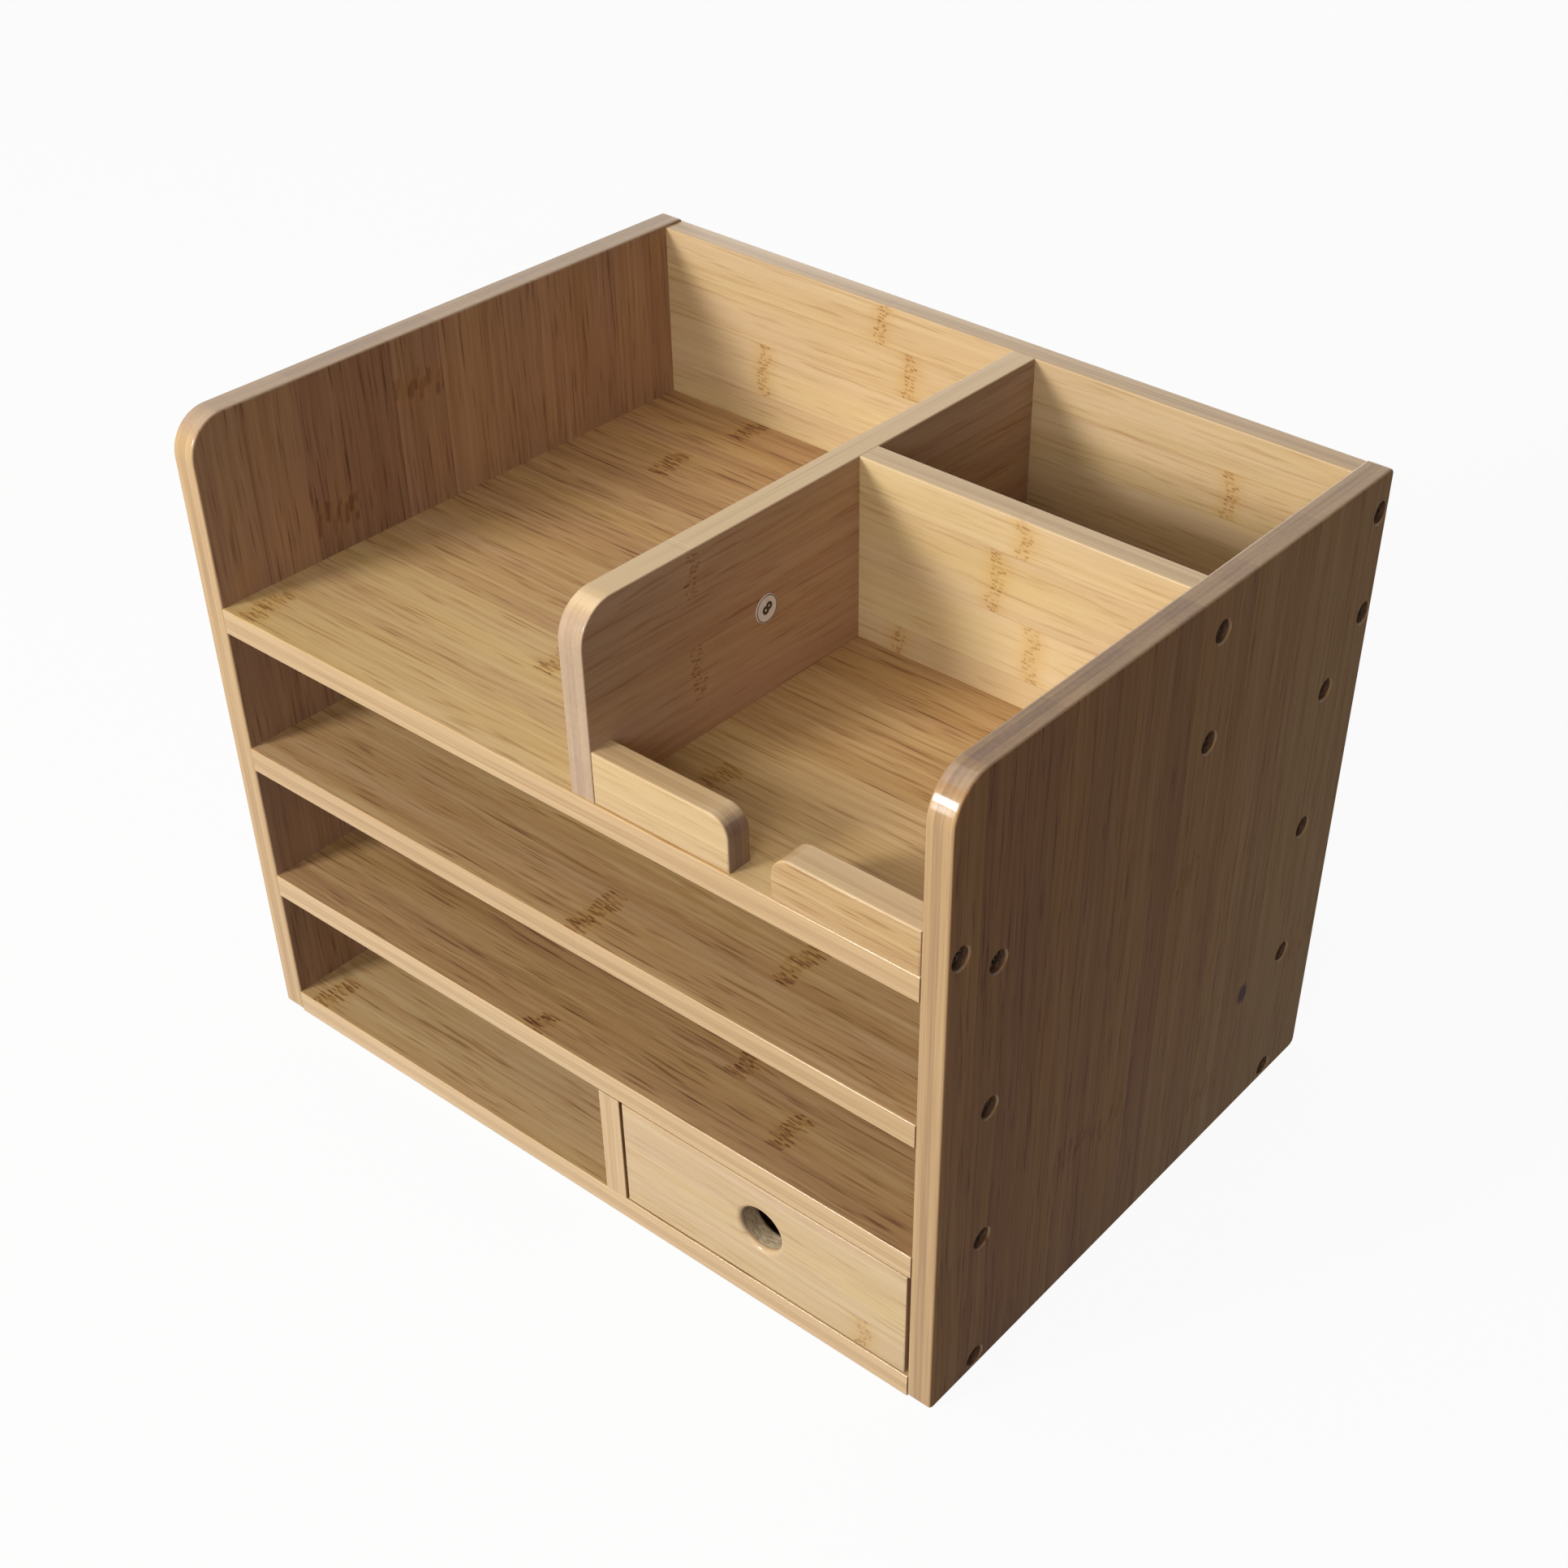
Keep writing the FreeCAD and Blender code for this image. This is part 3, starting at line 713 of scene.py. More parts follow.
        # The strips' widths are evened out first, so that each strip is one step of the ramp that follows
        edges = [sum(widths[:place]) / total for place in range(count + 1)]
        even = ramped(tree, share, [(edge, grey(place / count)) for place, edge in enumerate(edges)])
        index = maths(tree, "MULTIPLY", even, float(count))
        centre = maths(tree, "MULTIPLY_ADD", maths(tree, "FLOOR", index), 1 / count, 0.5 / count)
        stops = []
        for place, strip in enumerate(self.strips):
            rings = [ring / RING_SPAN + 0.5 for ring in strip.rings]
            stops.append((place / count, (strip.tone, *(rings + [0.0, 0.0])[:2], 1.0)))
        width = 0.5 * count / total
        joint = stretched(tree, maths(tree, "PINGPONG", index, 0.5), width, width * 0.4)
        return ramped(tree, centre, stops, "CONSTANT"), joint

    def knot_mark(self, tree: Tree, wood: Socket) -> Socket:
        """The strength of a small dark knot, longer along the grain."""
        off = vectors(tree, "MULTIPLY", vectors(tree, "SUBTRACT", wood, (*self.knot, 0.0)), (0.7, 1.0, 0.0))
        return eased(tree, add(tree, "VectorMath", {0: off}, operation="LENGTH").outputs["Value"], 4.2, 1.6)


@dataclass(frozen=True)
class Mottled:
    """A plain finish of two tones, in patches of a real size.

    Attributes:
        name: The material's name.
        dull: The darker tone.
        clear: The paler tone.
        patch: A patch's size along each axis of the frame, in mm.
        blend: Where in the pattern, from 0 to 1, the tones begin and end to mix.
        rough: How rough the dull and the clear patches are.
        metal: 1 for bare metal.
        detail: How many finer octaves the patches have.
        relief: How strong their bump is.
    """

    name: str
    dull: str
    clear: str
    patch: Triple
    blend: Pair
    rough: Pair
    metal: float = 0.0
    detail: float = 2.0
    relief: float = 0.0

    def build(self) -> Material:
        """Make the material.

        Returns:
            The finish.
        """
        material, tree = new_material(self.name)
        place = add(tree, "TexCoord").outputs["Object"]
        scaled = vectors(tree, "MULTIPLY", place, [1 / (size * MM) for size in self.patch])
        patches = add(tree, "TexNoise", {"Vector": scaled, "Scale": 1.0, "Detail": self.detail}).outputs[0]
        bump = add(tree, "Bump", {"Height": patches, "Strength": self.relief, "Distance": 0.1 * MM})
        surfaced(tree, {
            "Base Color": ramped(tree, patches, zip(self.blend, (linear(self.dull), linear(self.clear)))),
            "Metallic": self.metal,
            "Roughness": stretched(tree, patches, 0.0, 1.0, *self.rough),
            "Normal": bump.outputs[0],
        })
        return material


# The wall that a drill leaves in bamboo: rough, with faint rings 0.5 mm apart from the cutter, dark brown
# partly as the drill's browning and partly as painted shade in the deep bore
BORED = Mottled(
    "bored_bamboo", "#503423", "#825f43", (0.5, 2.0, 2.0), (0.34, 0.68), (0.75, 0.75), detail=3.0, relief=0.2,
)
# The finger hole's wall: paler than the bored walls, partly as raw bamboo and partly as painted light that
# brightens the shaded hole, its rings across the drawer's front
FINGER_HOLE_WALL = replace(BORED, name="finger_hole_wall_and_light", dull="#958067", clear="#cfb995", patch=(2.0, 0.5, 2.0))
# Plain turned beech: pale pinkish tan with darker flecks 3 mm long and 0.5 mm wide
BEECH = Mottled("turned_beech", "#a97a50", "#d6b088", (0.5, 0.5, 3.03), (0.35, 0.6), (0.6, 0.6))
# Steel with a dark zinc coat: dull brownish grey, brighter where it is worn, in patches of 1 mm
ZINC = Mottled(
    "dark_zinc_steel", "#2b231c", "#6f6358", (1.0, 1.0, 1.0), (0.4, 0.7), (0.55, 0.35), metal=1.0, detail=3.0,
)
# Bright steel wire: an even grey, a little brighter in patches
BRIGHT = replace(ZINC, name="bright_brad_steel", dull="#7d7d7c", clear="#b9b9b6")
# Matt white paper film: an even white with a faint fibre about 0.6 mm long
FILM = Mottled("white_sticker_film", "#e2dede", "#eeebeb", (0.625, 0.625, 0.625), (0.3, 0.7), (0.55, 0.55))
# Brownish black ink on that film, with its fibre
INK = replace(FILM, name="dark_printing_ink", dull="#30261f", clear="#43352d")


@dataclass(frozen=True)
class ScrewSet:
    """One set of wood screws that stands for a CAD node of like screws.

    Attributes:
        node: The CAD node.
        outward: The direction that the heads face.
        head_radius: A head's radius, in mm, as all sizes.
        head_height: Its height.
        head_bevel: How wide its rim is bevelled.
        shank_radius: The shank's radius.
        length: The shank's length with its tip.
        tip: How long the tip is.
        recess: The cross recess's radius at its floor and above the head, and twice its depth.
        recess_share: An arm's width as a share of its length.
        bore_radius: The radius of the bore that a head lies in.
        bore_depth: How deep the bore is.
        bore_lip: How wide the bore's mouth is eased.
    """

    node: str
    outward: Vector
    head_radius: float = 3.7
    head_height: float = 2.2
    head_bevel: float = 0.5
    shank_radius: float = 2.0
    length: float = 30.0
    tip: float = 4.0
    recess: Triple = (1.9, 3.1, 2.4)
    recess_share: float = 0.3
    bore_radius: float = 4.0
    bore_depth: float = 4.6
    bore_lip: float = 0.6

    def seats(self) -> list[Matrix]:
        """Where the underside of each head sits, found from the CAD node's separate solids.

        Returns:
            A transform for each screw, whose +Z faces outward.
        """
        bm = bmesh.new()
        bm.from_mesh(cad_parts[self.node].data)
        bmesh.ops.remove_doubles(bm, verts=bm.verts, dist=NEAR / 10)
        waiting = set(bm.verts)
        seats = []
        while waiting:
            reached = [waiting.pop()]
            for vert in reached:
                found = {edge.other_vert(vert) for edge in vert.link_edges} & waiting
                waiting -= found
                reached += found
            low, high = (Vector(map(pick, *(vert.co for vert in reached))) for pick in (min, max))
            reach = abs((high - low).dot(self.outward)) / 2 - self.head_height * MM
            seats.append(standing((low + high) / 2 + self.outward * reach, self.outward))
        bm.free()
        return sorted(seats, key=lambda seat: tuple(round(value, 5) for value in seat.translation))

    def bores(self) -> BMesh:
        """The counterbores that the heads lie in, each open past the face of the board.

        Returns:
            The shapes to cut out.
        """
        level = self.bore_depth
        lip = self.bore_radius + self.bore_lip
        tool = turned((
            (0, 0), (self.bore_radius, 0), (self.bore_radius, level - self.bore_lip),
            (lip, level), (lip, level + PAST / MM), (0, level + PAST / MM),
        ), 36)
        for face in tool.faces:
            face.material_index = int(face.calc_center_median().z < (level - self.bore_lip) * MM - NEAR)
        return copied(tool, self.seats())

    def build(self, steel: Material) -> None:
        """Make the screws.

        Args:
            steel: Their material.
        """
        height, radius, bevel = self.head_height, self.head_radius, self.head_bevel
        screw = turned((
            (0, -self.length), (self.shank_radius, self.tip - self.length), (self.shank_radius, 0),
            (radius, 0), (radius, height - bevel), (radius - bevel, height), (0, height),
        ), 28)
        floor, mouth, depth = (size * MM for size in self.recess)
        for turn in (0, math.pi / 2):
            blade = bmesh.new()
            bmesh.ops.create_cone(
                blade, cap_ends=True, segments=4, radius1=floor, radius2=mouth, depth=depth,
                matrix=Matrix.Rotation(math.pi / 4, 4, "Z"),
            )
            bmesh.ops.scale(blade, vec=(1, self.recess_share, 1), verts=blade.verts)
            bmesh.ops.rotate(blade, matrix=Matrix.Rotation(turn, 3, "Z"), verts=blade.verts)
            bmesh.ops.translate(blade, vec=(0, 0, height * MM), verts=blade.verts)
            screw = cut(screw, blade)
        heads = copied(screw, self.seats())
        finished(heads, self.node + "_heads", Body.CARCASS, [steel], self.node)


LEFTWARD, RIGHTWARD, REARWARD, DOWNWARD = (
    Vector(way) for way in ((-1, 0, 0), (1, 0, 0), (0, 1, 0), (0, 0, -1))
)
# Each set of screws, by the board that its heads lie in
SCREWS = {
    "side_panel_left": ScrewSet("side_screws_left", LEFTWARD),
    "side_panel_right": ScrewSet("side_screws_right", RIGHTWARD),
    "top_divider": ScrewSet("divider_screws", LEFTWARD),
    "back_board": ScrewSet("back_screws", REARWARD),
    "top_deck": ScrewSet("deck_screws", DOWNWARD),
    "base_board": ScrewSet("base_screws", DOWNWARD),
}


@dataclass
class Board:
    """A flat board that stands for one CAD node, with rounded corners and softened arrises.

    Attributes:
        wood: The board's material, which names its CAD node.
        slot: The record's slot; not used.
        corners: Corners of the outline, each as the two sides that meet there and a radius in mm.
        arrises: Edges to soften, each group as the sides that they lie on.
        joined: Sides on which no edge is softened, because the board is joined there.
        arris: The radius of a softened edge, in mm.
        body: The body that it rides on.
        bored: The finish of the walls that a drill leaves in it.
    """

    wood: LacqueredBamboo
    slot: Slot = Slot.BOARD
    corners: tuple[tuple[tuple[Face, ...], float], ...] = ()
    arrises: tuple[tuple[Face, ...], ...] = ()
    joined: tuple[Face, ...] = ()
    arris: float = 0.6
    body: Body = Body.CARCASS
    bored: Mottled = BORED

    @property
    def node(self) -> str:
        """The CAD node that the board stands for."""
        return self.wood.node

    def edges(self, bm: BMesh, faces: Iterable[Face]) -> list[BMEdge]:
        """The edges that lie on all of some sides of the board's box.

        Args:
            bm: The board's mesh.
            faces: The sides.

        Returns:
            The edges.
        """
        planes = [(axis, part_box(self.node)[end][axis]) for axis, end in (face.value for face in faces)]
        return [
            edge for edge in bm.edges
            if all(abs(vert.co[axis] - value) < NEAR for axis, value in planes for vert in edge.verts)
        ]

    def shape(self) -> BMesh:
        """Make the board's mesh.

        Returns:
            The mesh, in place.
        """
        bm = block(*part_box(self.node))
        for faces, radius in self.corners:
            rounded(bm, self.edges(bm, faces), radius, max(4, round(radius)))
        plain = [edge for face in self.joined for edge in self.edges(bm, (face,))]
        edges = dict.fromkeys(edge for faces in self.arrises for edge in self.edges(bm, faces))
        rounded(bm, [edge for edge in edges if edge not in plain], self.arris, 3)
        if self.node in SCREWS:
            bm = cut(bm, SCREWS[self.node].bores())
        return bm

    def build(self) -> None:
        """Make the board."""
        materials = [self.wood.build()]
        if self.node in SCREWS or self.body is Body.DRAWER:
            materials.append(self.bored.build())
        finished(self.shape(), self.node + "_board", self.body, materials, self.node)


@dataclass
class Carcass:
    """The fixed boards, joined by screws, with the radii in mm of their corners and softened outlines."""

    panel_brow: float = 15.0
    panel_heel: float = 3.0
    panel_soft: float = 2.0
    panel_arris: float = 1.0
    divider_brow: float = 14.0
    stop_corner: float = 7.5
    stop_arris: float = 0.9

    def side_panels(self) -> list[Board]:
        """The two side panels, their grain upright.

        Returns:
            The boards.
        """
        marks = NodeMarks(
            lean=-0.1, length=5.0, width=2.0, pitch=3.4, scatter=5.0, rows=2, row_pitch=4.0,
            scorch=0.19, glow=0.3,
        )
        looks = {"figure": 1.1, "gloss": 0.03, "marks": marks}
        # The left panel takes the greyer wall tones and paler ends than the right panel: the bamboo's own
        # colour with a painted sheen on its inner face and top edge
        left = LacqueredBamboo("side_panel_left", Lie.UPRIGHT, strips(
            (22, 0.5), (23, 0.5), (20, 0.24, 203), (22, 0.2), (23, 0.36, 236), (23, 0.66), (25, 0.46),
            (20, 0.56, 120), (22, 0.42), (20, 0.52), (20, 0.46),
        ), WALL_TONES, tone=0.56, cut_tone=0.69, end_tone=0.66, **looks)
        # The right panel's strips grow paler towards the rear: partly their own tones, partly a painted sheen
        # that lightens its outer face towards the rear
        right = LacqueredBamboo("side_panel_right", Lie.UPRIGHT, strips(
            (15, 0.62), (18, 0.36), (19, 0.36), (15, 0.56), (20, 0.44, 65), (22, 0.58, 64), (14, 0.44),
            (17, 0.76, 150), (14, 0.6), (22, 0.84, 28), (16, 0.76), (20, 0.96), (28, 0.9, 60),
        ), OUTER_TONES, tone=0.565, cut_tone=0.59, end_tone=0.4, grey_and_sheen=0.08, knot=(61.5, 68.5), **looks)
        corners = (
            ((Face.FRONT, Face.TOP), self.panel_brow),
            ((Face.REAR, Face.BOTTOM), self.panel_heel),
            ((Face.FRONT, Face.BOTTOM), self.panel_soft),
            ((Face.REAR, Face.TOP), self.panel_soft),
        )
        return [
            Board(wood, Slot.PANEL, corners, arrises=((Face.LEFT,), (Face.RIGHT,)), arris=self.panel_arris)
            for wood in (left, right)
        ]

    def shelves(self) -> list[Board]:
        """The four horizontal boards, their grain from side to side.

        Returns:
            The boards.
        """
        woods = {
            "base_board": (BOARD_TONES, 0.8, strips(
                (18, 0.66, -143), (22, 0.74, 60), (20, 0.62), (24, 0.68, -20), (22, 0.62), (20, 0.7),
                (24, 0.6, 100), (22, 0.68), (24, 0.56), (22, 0.66, -60), (22, 0.6),
            )),
            "lower_shelf": (BOARD_TONES, 0.77, strips(
                (10, 0.24, -17), (18, 0.36, 88), (22, 0.26, 54), (20, 0.46), (24, 0.32, -90), (22, 0.42),
                (24, 0.46), (22, 0.4, 20), (26, 0.5), (26, 0.46), (26, 0.52),
            )),
            "upper_shelf": (BOARD_TONES, 0.69, strips(
                (24, 0.46, 9), (22, 0.56, 79), (20, 0.44), (22, 0.54, -120), (24, 0.46), (22, 0.58),
                (24, 0.5, 40), (22, 0.46), (20, 0.54), (20, 0.5), (20, 0.44),
            )),
            # The deck's strips run from pale at the front to dark at the rear: partly their own tones, partly
            # painted light falling off towards the rear and painted shade in the rear compartment
            "top_deck": (DECK_TONES, 0.72, strips(
                (22, 0.94, -145), (22, 0.88, 45), (20, 0.9, -42), (21, 0.56), (22, 0.56, 120), (25, 0.45),
                (25, 0.53), (15, 0.32), (20, 0.43, -112), (22, 0.33), (26, 0.28, -107),
            )),
        }
        marks = NodeMarks(
            lean=0.05, length=3.6, width=0.9, pitch=1.7, scatter=2.0, row_pitch=2.4, scorch=0.35, glow=0.45,
        )
        looks = {"tone": 0.67, "figure": 1.2, "marks": marks}
        arrises = tuple(product((Face.FRONT, Face.REAR), (Face.BOTTOM, Face.TOP)))
        return [
            Board(LacqueredBamboo(node, Lie.FLAT, wood, tones, cut_tone=cut_tone, **looks), arrises=arrises)
            for node, (tones, cut_tone, wood) in woods.items()
        ]

    def uprights(self) -> list[Board]:
        """The back board and the dividers.

        Returns:
            The boards.
        """
        back = LacqueredBamboo("back_board", Lie.FACING, strips(
            (13, 0.5), (22, 0.6, -105), (18, 0.5, -32, 110), (16, 0.56, -45),
        ), tone=0.86, cut_tone=0.69, figure=0.75, marks=NodeMarks(scorch=0.34))
        cross = LacqueredBamboo("cross_divider", Lie.FACING, strips(
            (11, 0.48, 43), (21, 0.6, 98), (23, 0.5, 82), (14, 0.58, 93),
        ), tone=0.9, cut_tone=0.84, figure=0.75, marks=NodeMarks(scorch=0.3))
        # The top divider takes the greyer wall tones and a very pale cut tone for its top edge: its own
        # colour with a painted sheen mixed in
        middle = LacqueredBamboo("top_divider", Lie.FORE_AND_AFT, strips(
            (14, 0.44), (20, 0.56, -70), (18, 0.46), (17, 0.58, -71),
        ), WALL_TONES, 0.75, 1.02, 0.66, figure=0.95, gloss=0.05, marks=NodeMarks(glow=0.1))
        low = LacqueredBamboo("lower_divider", Lie.UPRIGHT, strips(
            (24, 0.5), (22, 0.6), (26, 0.5, 30), (24, 0.55), (22, 0.5), (26, 0.6), (24, 0.5, 45), (24, 0.56),
            (24, 0.5), (24, 0.58),
        ), tone=0.52, cut_tone=0.79)
        rim = tuple(product((Face.FRONT, Face.REAR), (Face.TOP,)))
        return [
            Board(back, arrises=rim),
            Board(cross, arrises=rim),
            Board(
                middle, corners=(((Face.FRONT, Face.TOP), self.divider_brow),),
                arrises=((Face.LEFT,), (Face.RIGHT,)), joined=(Face.BOTTOM, Face.REAR),
            ),
            Board(low, arrises=tuple(product((Face.LEFT, Face.RIGHT), (Face.FRONT, Face.REAR)))),
        ]

    def stops(self) -> list[Board]:
        """The two stops on the deck's front edge.

        Returns:
            The boards.
        """
        # The stops' ends are darker than the default: partly the end grain's own colour, partly painted shade
        # on the left stop's right end, which faces away from the lamps
        return [
            Board(
                LacqueredBamboo(
                    node, Lie.FACING, strips((7, 0.5), (13, 0.58)),
                    tone=tone, cut_tone=0.84, end_tone=0.36, figure=figure,
                ),
                corners=(((free_end, Face.TOP), self.stop_corner),),
                arrises=((Face.FRONT,), (Face.REAR,)), arris=self.stop_arris,
            )
            for node, free_end, tone, figure in (
                ("stop_left", Face.RIGHT, 0.86, 0.6), ("stop_right", Face.LEFT, 0.7, 1.1),
            )
        ]

    def build(self) -> None:
        """Make every fixed board and its screws, and dress the CAD nodes between them."""
        for board in (*self.side_panels(), *self.shelves(), *self.uprights(), *self.stops()):
            board.build()
        steel = ZINC.build()
        for screw_set in SCREWS.values():
            screw_set.build(steel)
        beech = BEECH.build()
        for node in ("divider_dowels", "stop_dowels"):
            dressed(node, beech)
        dressed("strip_brads", BRIGHT.build())
        strip = LacqueredBamboo("drawer_stop_strip", Lie.FACING, strips((14, 0.5)))
        dressed(strip.node, strip.build())


@dataclass
class DrawerFront(Board):
    """The drawer's front, with its finger hole and the cuts that take the sides and the bottom.

    Attributes:
        hole_radius: The finger hole's radius, in mm, as all sizes.
        hole_height: The height of its centre in the frame.
        lip: How round its front and rear lips are.
        lip_steps: How many faces go round a lip.
    """

    hole_radius: float = 9.0
    hole_height: float = 37.7
    lip: float = 2.0
    lip_steps: int = 5

    def shape(self) -> BMesh:
        """Make the front's mesh.

        Returns:
            The mesh, in place.
        """
        bm = super().shape()
        low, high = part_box(self.node)
        centre = Vector(((low.x + high.x) / 2, (low.y + high.y) / 2, self.hole_height * MM))
        # A side's lap is open outwards and downwards, and the bottom's groove only to the rear
        for node, way in (("drawer_side_left", -1), ("drawer_side_right", 1), ("drawer_bottom", 0)):
            near, far = (Vector(corner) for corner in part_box(node))
            far.y = high.y + PAST
            near.x += min(way, 0) * PAST
            far.x += max(way, 0) * PAST
            near.z -= abs(way) * PAST
            bm = cut(bm, block(near, far))
        radius, lip = self.hole_radius * MM, self.lip * MM
        hole = bmesh.new()
        bmesh.ops.create_cone(
            hole, cap_ends=True, segments=64, radius1=radius, radius2=radius, depth=high.y - low.y + 2 * PAST,
            matrix=Matrix.Translation(centre) @ Matrix.Rotation(math.pi / 2, 4, "X"),
        )
        for face in hole.faces:
            face.material_index = 1
        bm = cut(bm, hole)
        for side in (Face.FRONT, Face.REAR):
            rim = [
                edge for edge in self.edges(bm, (side,))
                if all(abs(self.from_axis(vert.co, centre) - radius) < NEAR for vert in edge.verts)
            ]
            rounded(bm, rim, self.lip, self.lip_steps)
        # The hole's wall and its rear lip are left by the drill, and the front lip is lacquered
        for face in bm.faces:
            reach = max(self.from_axis(vert.co, centre) for vert in face.verts)
            behind = low.y + lip < face.calc_center_median().y < high.y - NEAR
            face.material_index = int(behind and reach < radius + lip + NEAR or reach < radius + NEAR)
        return bm

    def from_axis(self, point: Vector, centre: Vector) -> float:
        """How far a point is from the finger hole's axis."""
        return (point - centre).xz.length


@dataclass
class Drawer:
    """The small drawer on the right."""

    def build(self) -> None:
        """Make the front, and dress the box behind it, which is as the CAD model has it."""
        face = LacqueredBamboo(
            "drawer_front", Lie.FACING, strips((14, 0.48, 136), (18, 0.56), (15.4, 0.5)), PALE_TONES,
            tone=0.88, cut_tone=0.74, figure=0.7, marks=NodeMarks(scorch=0.3),
        )
        DrawerFront(
            face, Slot.DRAWER, arrises=((Face.FRONT,), (Face.REAR, Face.TOP)), body=Body.DRAWER, bored=FINGER_HOLE_WALL,
        ).build()
        side = strips((14, 0.5, -40), (16, 0.6), (12, 0.52, 50))
        back = strips((16, 0.54, 70), (18, 0.6))
        bottom = strips(
            (21.8, 0.5), (24, 0.6, 60), (20, 0.5), (24, 0.56), (22, 0.48, 120), (24, 0.6), (20, 0.5),
            (24, 0.55), (22, 0.5, 90), (21, 0.6),
        )
        for node, lie, wood in (
            ("drawer_side_left", Lie.FORE_AND_AFT, side), ("drawer_side_right", Lie.FORE_AND_AFT, side),
            ("drawer_back", Lie.FACING, back), ("drawer_bottom", Lie.FLAT, bottom),
        ):
            dressed(node, LacqueredBamboo(node, lie, wood, tone=0.68).build())
        dressed("drawer_brads", replace(BRIGHT, name="drawer_brad_steel").build())


@dataclass
class Sticker:
    """The round assembly sticker on the top divider, with a ring and a plain number.

    Attributes:
        bevel: How wide the film's rim is bevelled, in mm, as all sizes.
        upright: How much of its thickness is upright, as a share.
        ring_radius: The ring's outer radius.
        ring_width: The ring's width.
        ink: How proud of the film the ink stands.
        digit: The number.
        digit_height: Its height.
        digit_share: A digit's height as a share of the font's size.
        digit_bold: How far its outline is moved outward.
        digit_turn: How far it is turned, in degrees.
    """

    bevel: float = 0.1
    upright: float = 0.6
    ring_radius: float = 4.95
    ring_width: float = 0.32
    ink: float = 0.03
    digit: str = "8"
    digit_height: float = 4.5
    digit_share: float = 0.7
    digit_bold: float = 0.26
    digit_turn: float = 37.0

    def build(self) -> None:
        """Make the film, the ring and the number."""
        low, high = (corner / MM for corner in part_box("panel_sticker"))
        radius, thickness = (high.z - low.z) / 2, high.x - low.x
        centre = Vector((low.x, (low.y + high.y) / 2, (low.z + high.z) / 2)) * MM
        at = standing(centre, RIGHTWARD)
        film, ink = FILM.build(), INK.build()
        disc = turned((
            (0, 0), (radius, 0), (radius, thickness * self.upright), (radius - self.bevel, thickness),
            (0, thickness),
        ), 48)
        outer, top = self.ring_radius, thickness + self.ink
        inner, half = outer - self.ring_width, thickness / 2
        ring = turned(((inner, half), (outer, half), (outer, top), (inner, top), (inner, half)), 48)
        finished(copied(disc, [at]), "sticker_film_disc", Body.CARCASS, [film], "panel_sticker")
        finished(copied(ring, [at]), "sticker_ring", Body.CARCASS, [ink])
        finished(self.number(at, top), "sticker_number", Body.CARCASS, [ink])

    def number(self, at: Matrix, top: float) -> BMesh:
        """Make the plain number as a thin raised mesh.

        Args:
            at: The sticker's place.
            top: How far its surface is from the divider, in mm.

        Returns:
            The mesh, in place.
        """
        curve = bpy.data.curves.new("number", "FONT")
        curve.body = self.digit
        curve.align_x = curve.align_y = "CENTER"
        curve.size = self.digit_height * MM / self.digit_share
        curve.extrude = self.ink * MM
        curve.offset = self.digit_bold * MM
        bm = worked(linked(curve))
        bpy.data.curves.remove(curve)
        bmesh.ops.remove_doubles(bm, verts=bm.verts, dist=NEAR / 10)
        turn = Matrix.Rotation(math.radians(self.digit_turn), 4, "Z")
        lift = Matrix.Translation((0, 0, (top - self.ink) * MM))
        bmesh.ops.transform(bm, matrix=at @ lift @ turn, verts=bm.verts)
        return bm


@dataclass(frozen=True)
class Lamp:
    """A rectangular soft lamp.

    Attributes:
        name: Its name.
        towards: The direction from the object to the lamp.
        distance: How far away it is, in metres.
        size: Its width and height, in metres.
        level: How bright it makes a white surface that faces it, where 1 is full white.
    """

    name: str
    towards: Triple
    distance: float
    size: Pair
    level: float

    def build(self, target: Vector) -> None:
        """Make the lamp.

        Args:
            target: The point that it lights.
        """
        data = bpy.data.lights.new(self.name, "AREA")
        data.shape = "RECTANGLE"
        data.size, data.size_y = self.size
        data.energy = self.level * math.pi ** 2 * self.distance ** 2
        lamp = linked(data)
        away = Vector(self.towards).normalized()
        lamp.location = target + away * self.distance
        lamp.rotation_euler = away.to_track_quat("Z", "Y").to_euler()


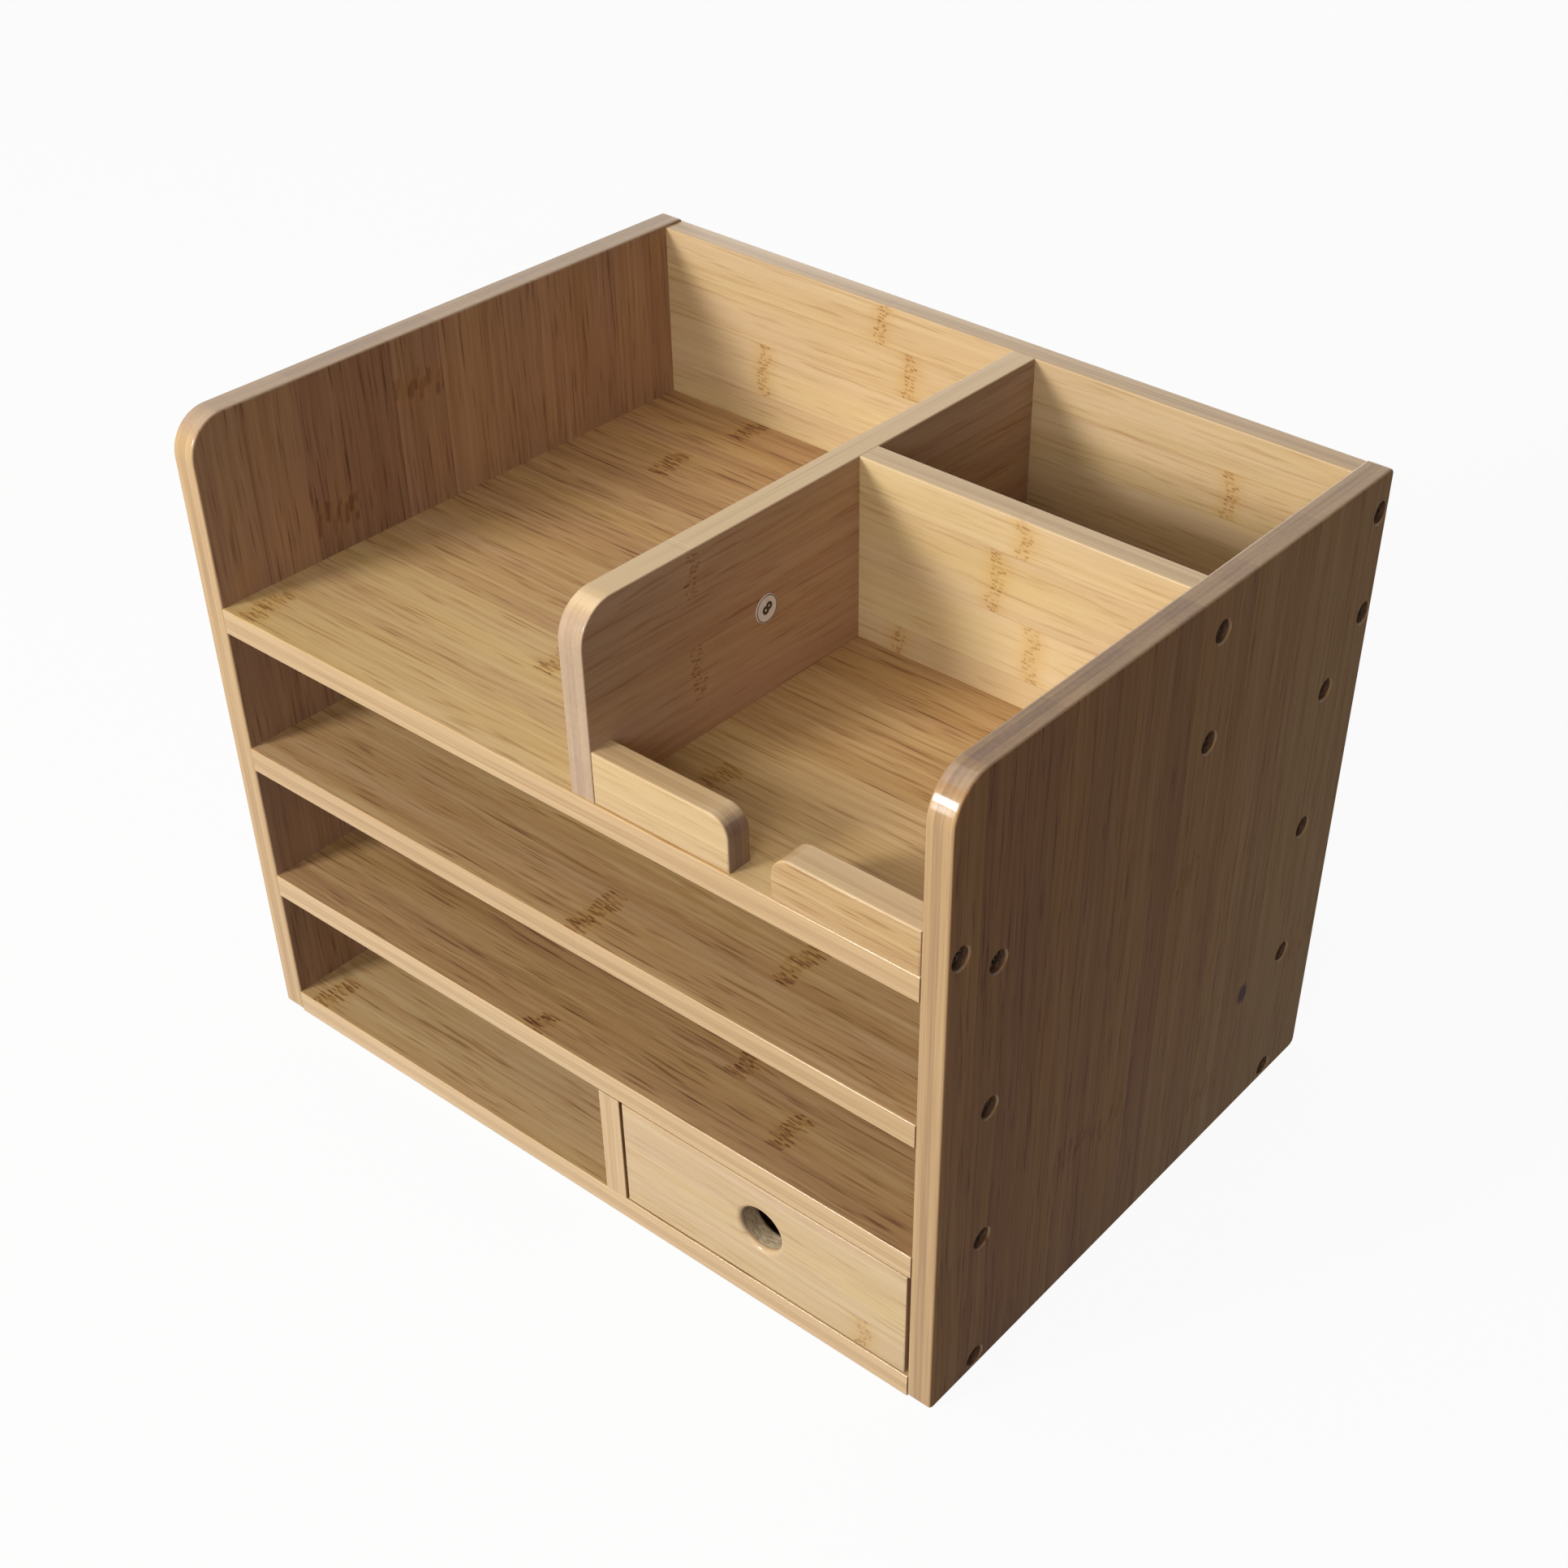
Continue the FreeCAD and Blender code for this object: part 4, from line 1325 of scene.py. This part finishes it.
@dataclass
class Studio:
    """The floor, the light and the camera, in metres.

    Attributes:
        floor_side: How long each side of the floor is.
        floor_lit: How much of the floor's look is plain white, where 1 shows no shadow.
        fill: How bright the even light is.
        aim: The point that the lamps light.
        focal_pixels: The focal length, in the photograph's pixels.
        centre_pixels: Where the lens's axis meets the photograph.
        camera_turn: The camera's Euler angles, in degrees.
    """

    floor_side: float = 8.0
    floor_lit: float = 0.94
    fill: float = 0.112
    aim: Triple = (0.0, 0.0, 0.12)
    lamps: tuple[Lamp, ...] = (
        Lamp("front_window", (-0.4, -1.0, 0.44), 2.4, (0.55, 0.55), 0.827),
        Lamp("room_ahead", (0.28, -1.0, 0.56), 1.8, (1.0, 0.8), 0.387),
        Lamp("tall_window", (-0.403, -0.908, 0.117), 2.225, (0.14, 0.5), 0.075),
        Lamp("ceiling_panel", (-0.35, -0.1, 1.0), 2.2, (1.6, 1.6), 0.293),
        Lamp("room_behind", (-0.5, 1.0, 0.25), 2.0, (1.2, 0.9), 0.12),
    )
    focal_pixels: float = 2708.9
    centre_pixels: Pair = (1167.3, 1154.6)
    camera_place: Triple = (0.44177, -0.50159, 0.59504)
    camera_turn: Triple = (50.5353, -1.8422, 37.5503)

    def build(self) -> None:
        """Make everything round the object."""
        self.floor()
        self.world()
        for lamp in self.lamps:
            lamp.build(Vector(self.aim))
        self.camera()
        bpy.context.scene.view_settings.view_transform = "Standard"

    def seen_white(self, tree: Tree) -> Socket:
        """A value that is 1 for rays that see the background, straight or mirrored or through glass."""
        path = add(tree, "LightPath").outputs
        return strongest(tree, [path[f"Is {kind} Ray"] for kind in ("Camera", "Glossy", "Transmission")])

    def floor(self) -> None:
        """Make a pale floor that fades to the white background and keeps the object's shadow."""
        material, tree = new_material("pale_studio_floor")
        plain = add(tree, "BsdfDiffuse", {"Color": linear("#d8d6d2")})
        glow = add(tree, "Emission", {"Strength": 1.0})
        washed = add(tree, "MixShader", {0: self.floor_lit, 1: plain.outputs[0], 2: glow.outputs[0]})
        # A dim desk lights the object from below as the real one does
        desk = add(tree, "BsdfDiffuse", {"Color": linear("#645f5c")})
        ends = add(tree, "MixShader", {0: self.seen_white(tree), 1: desk.outputs[0], 2: washed.outputs[0]})
        add(tree, "OutputMaterial", {"Surface": ends.outputs[0]})
        bm = bmesh.new()
        bmesh.ops.create_grid(bm, x_segments=1, y_segments=1, size=self.floor_side / 2)
        mesh = meshed(bm, "floor")
        mesh.materials.append(material)
        linked(mesh)

    def world(self) -> None:
        """Make a white background to look at, and a dimmer even light from it."""
        world = bpy.data.worlds.new("studio_air")
        world.use_nodes = True
        tree = world.node_tree
        tree.nodes.clear()
        strength = between(tree, self.seen_white(tree), self.fill, 1.0)
        light = add(tree, "Background", {"Color": linear("#ffffff"), "Strength": strength})
        add(tree, "OutputWorld", {"Surface": light.outputs[0]})
        bpy.context.scene.world = world

    def camera(self) -> None:
        """Make the camera, where the photograph was taken from."""
        data = bpy.data.cameras.new("camera")
        data.lens = self.focal_pixels / PHOTO_SIDE * data.sensor_width
        data.shift_x = (PHOTO_SIDE / 2 - self.centre_pixels[0]) / PHOTO_SIDE
        data.shift_y = (self.centre_pixels[1] - PHOTO_SIDE / 2) / PHOTO_SIDE
        data.clip_start = 0.01
        camera = linked(data)
        camera.location = self.camera_place
        camera.rotation_euler = [math.radians(angle) for angle in self.camera_turn]
        bpy.context.scene.camera = camera


def main() -> None:
    """Build the organizer's looks, then the studio."""
    logging.basicConfig(level=logging.INFO, format="%(name)s: %(message)s")
    Carcass().build()
    Drawer().build()
    Sticker().build()
    Studio().build()


if __name__ == "__main__":
    main()
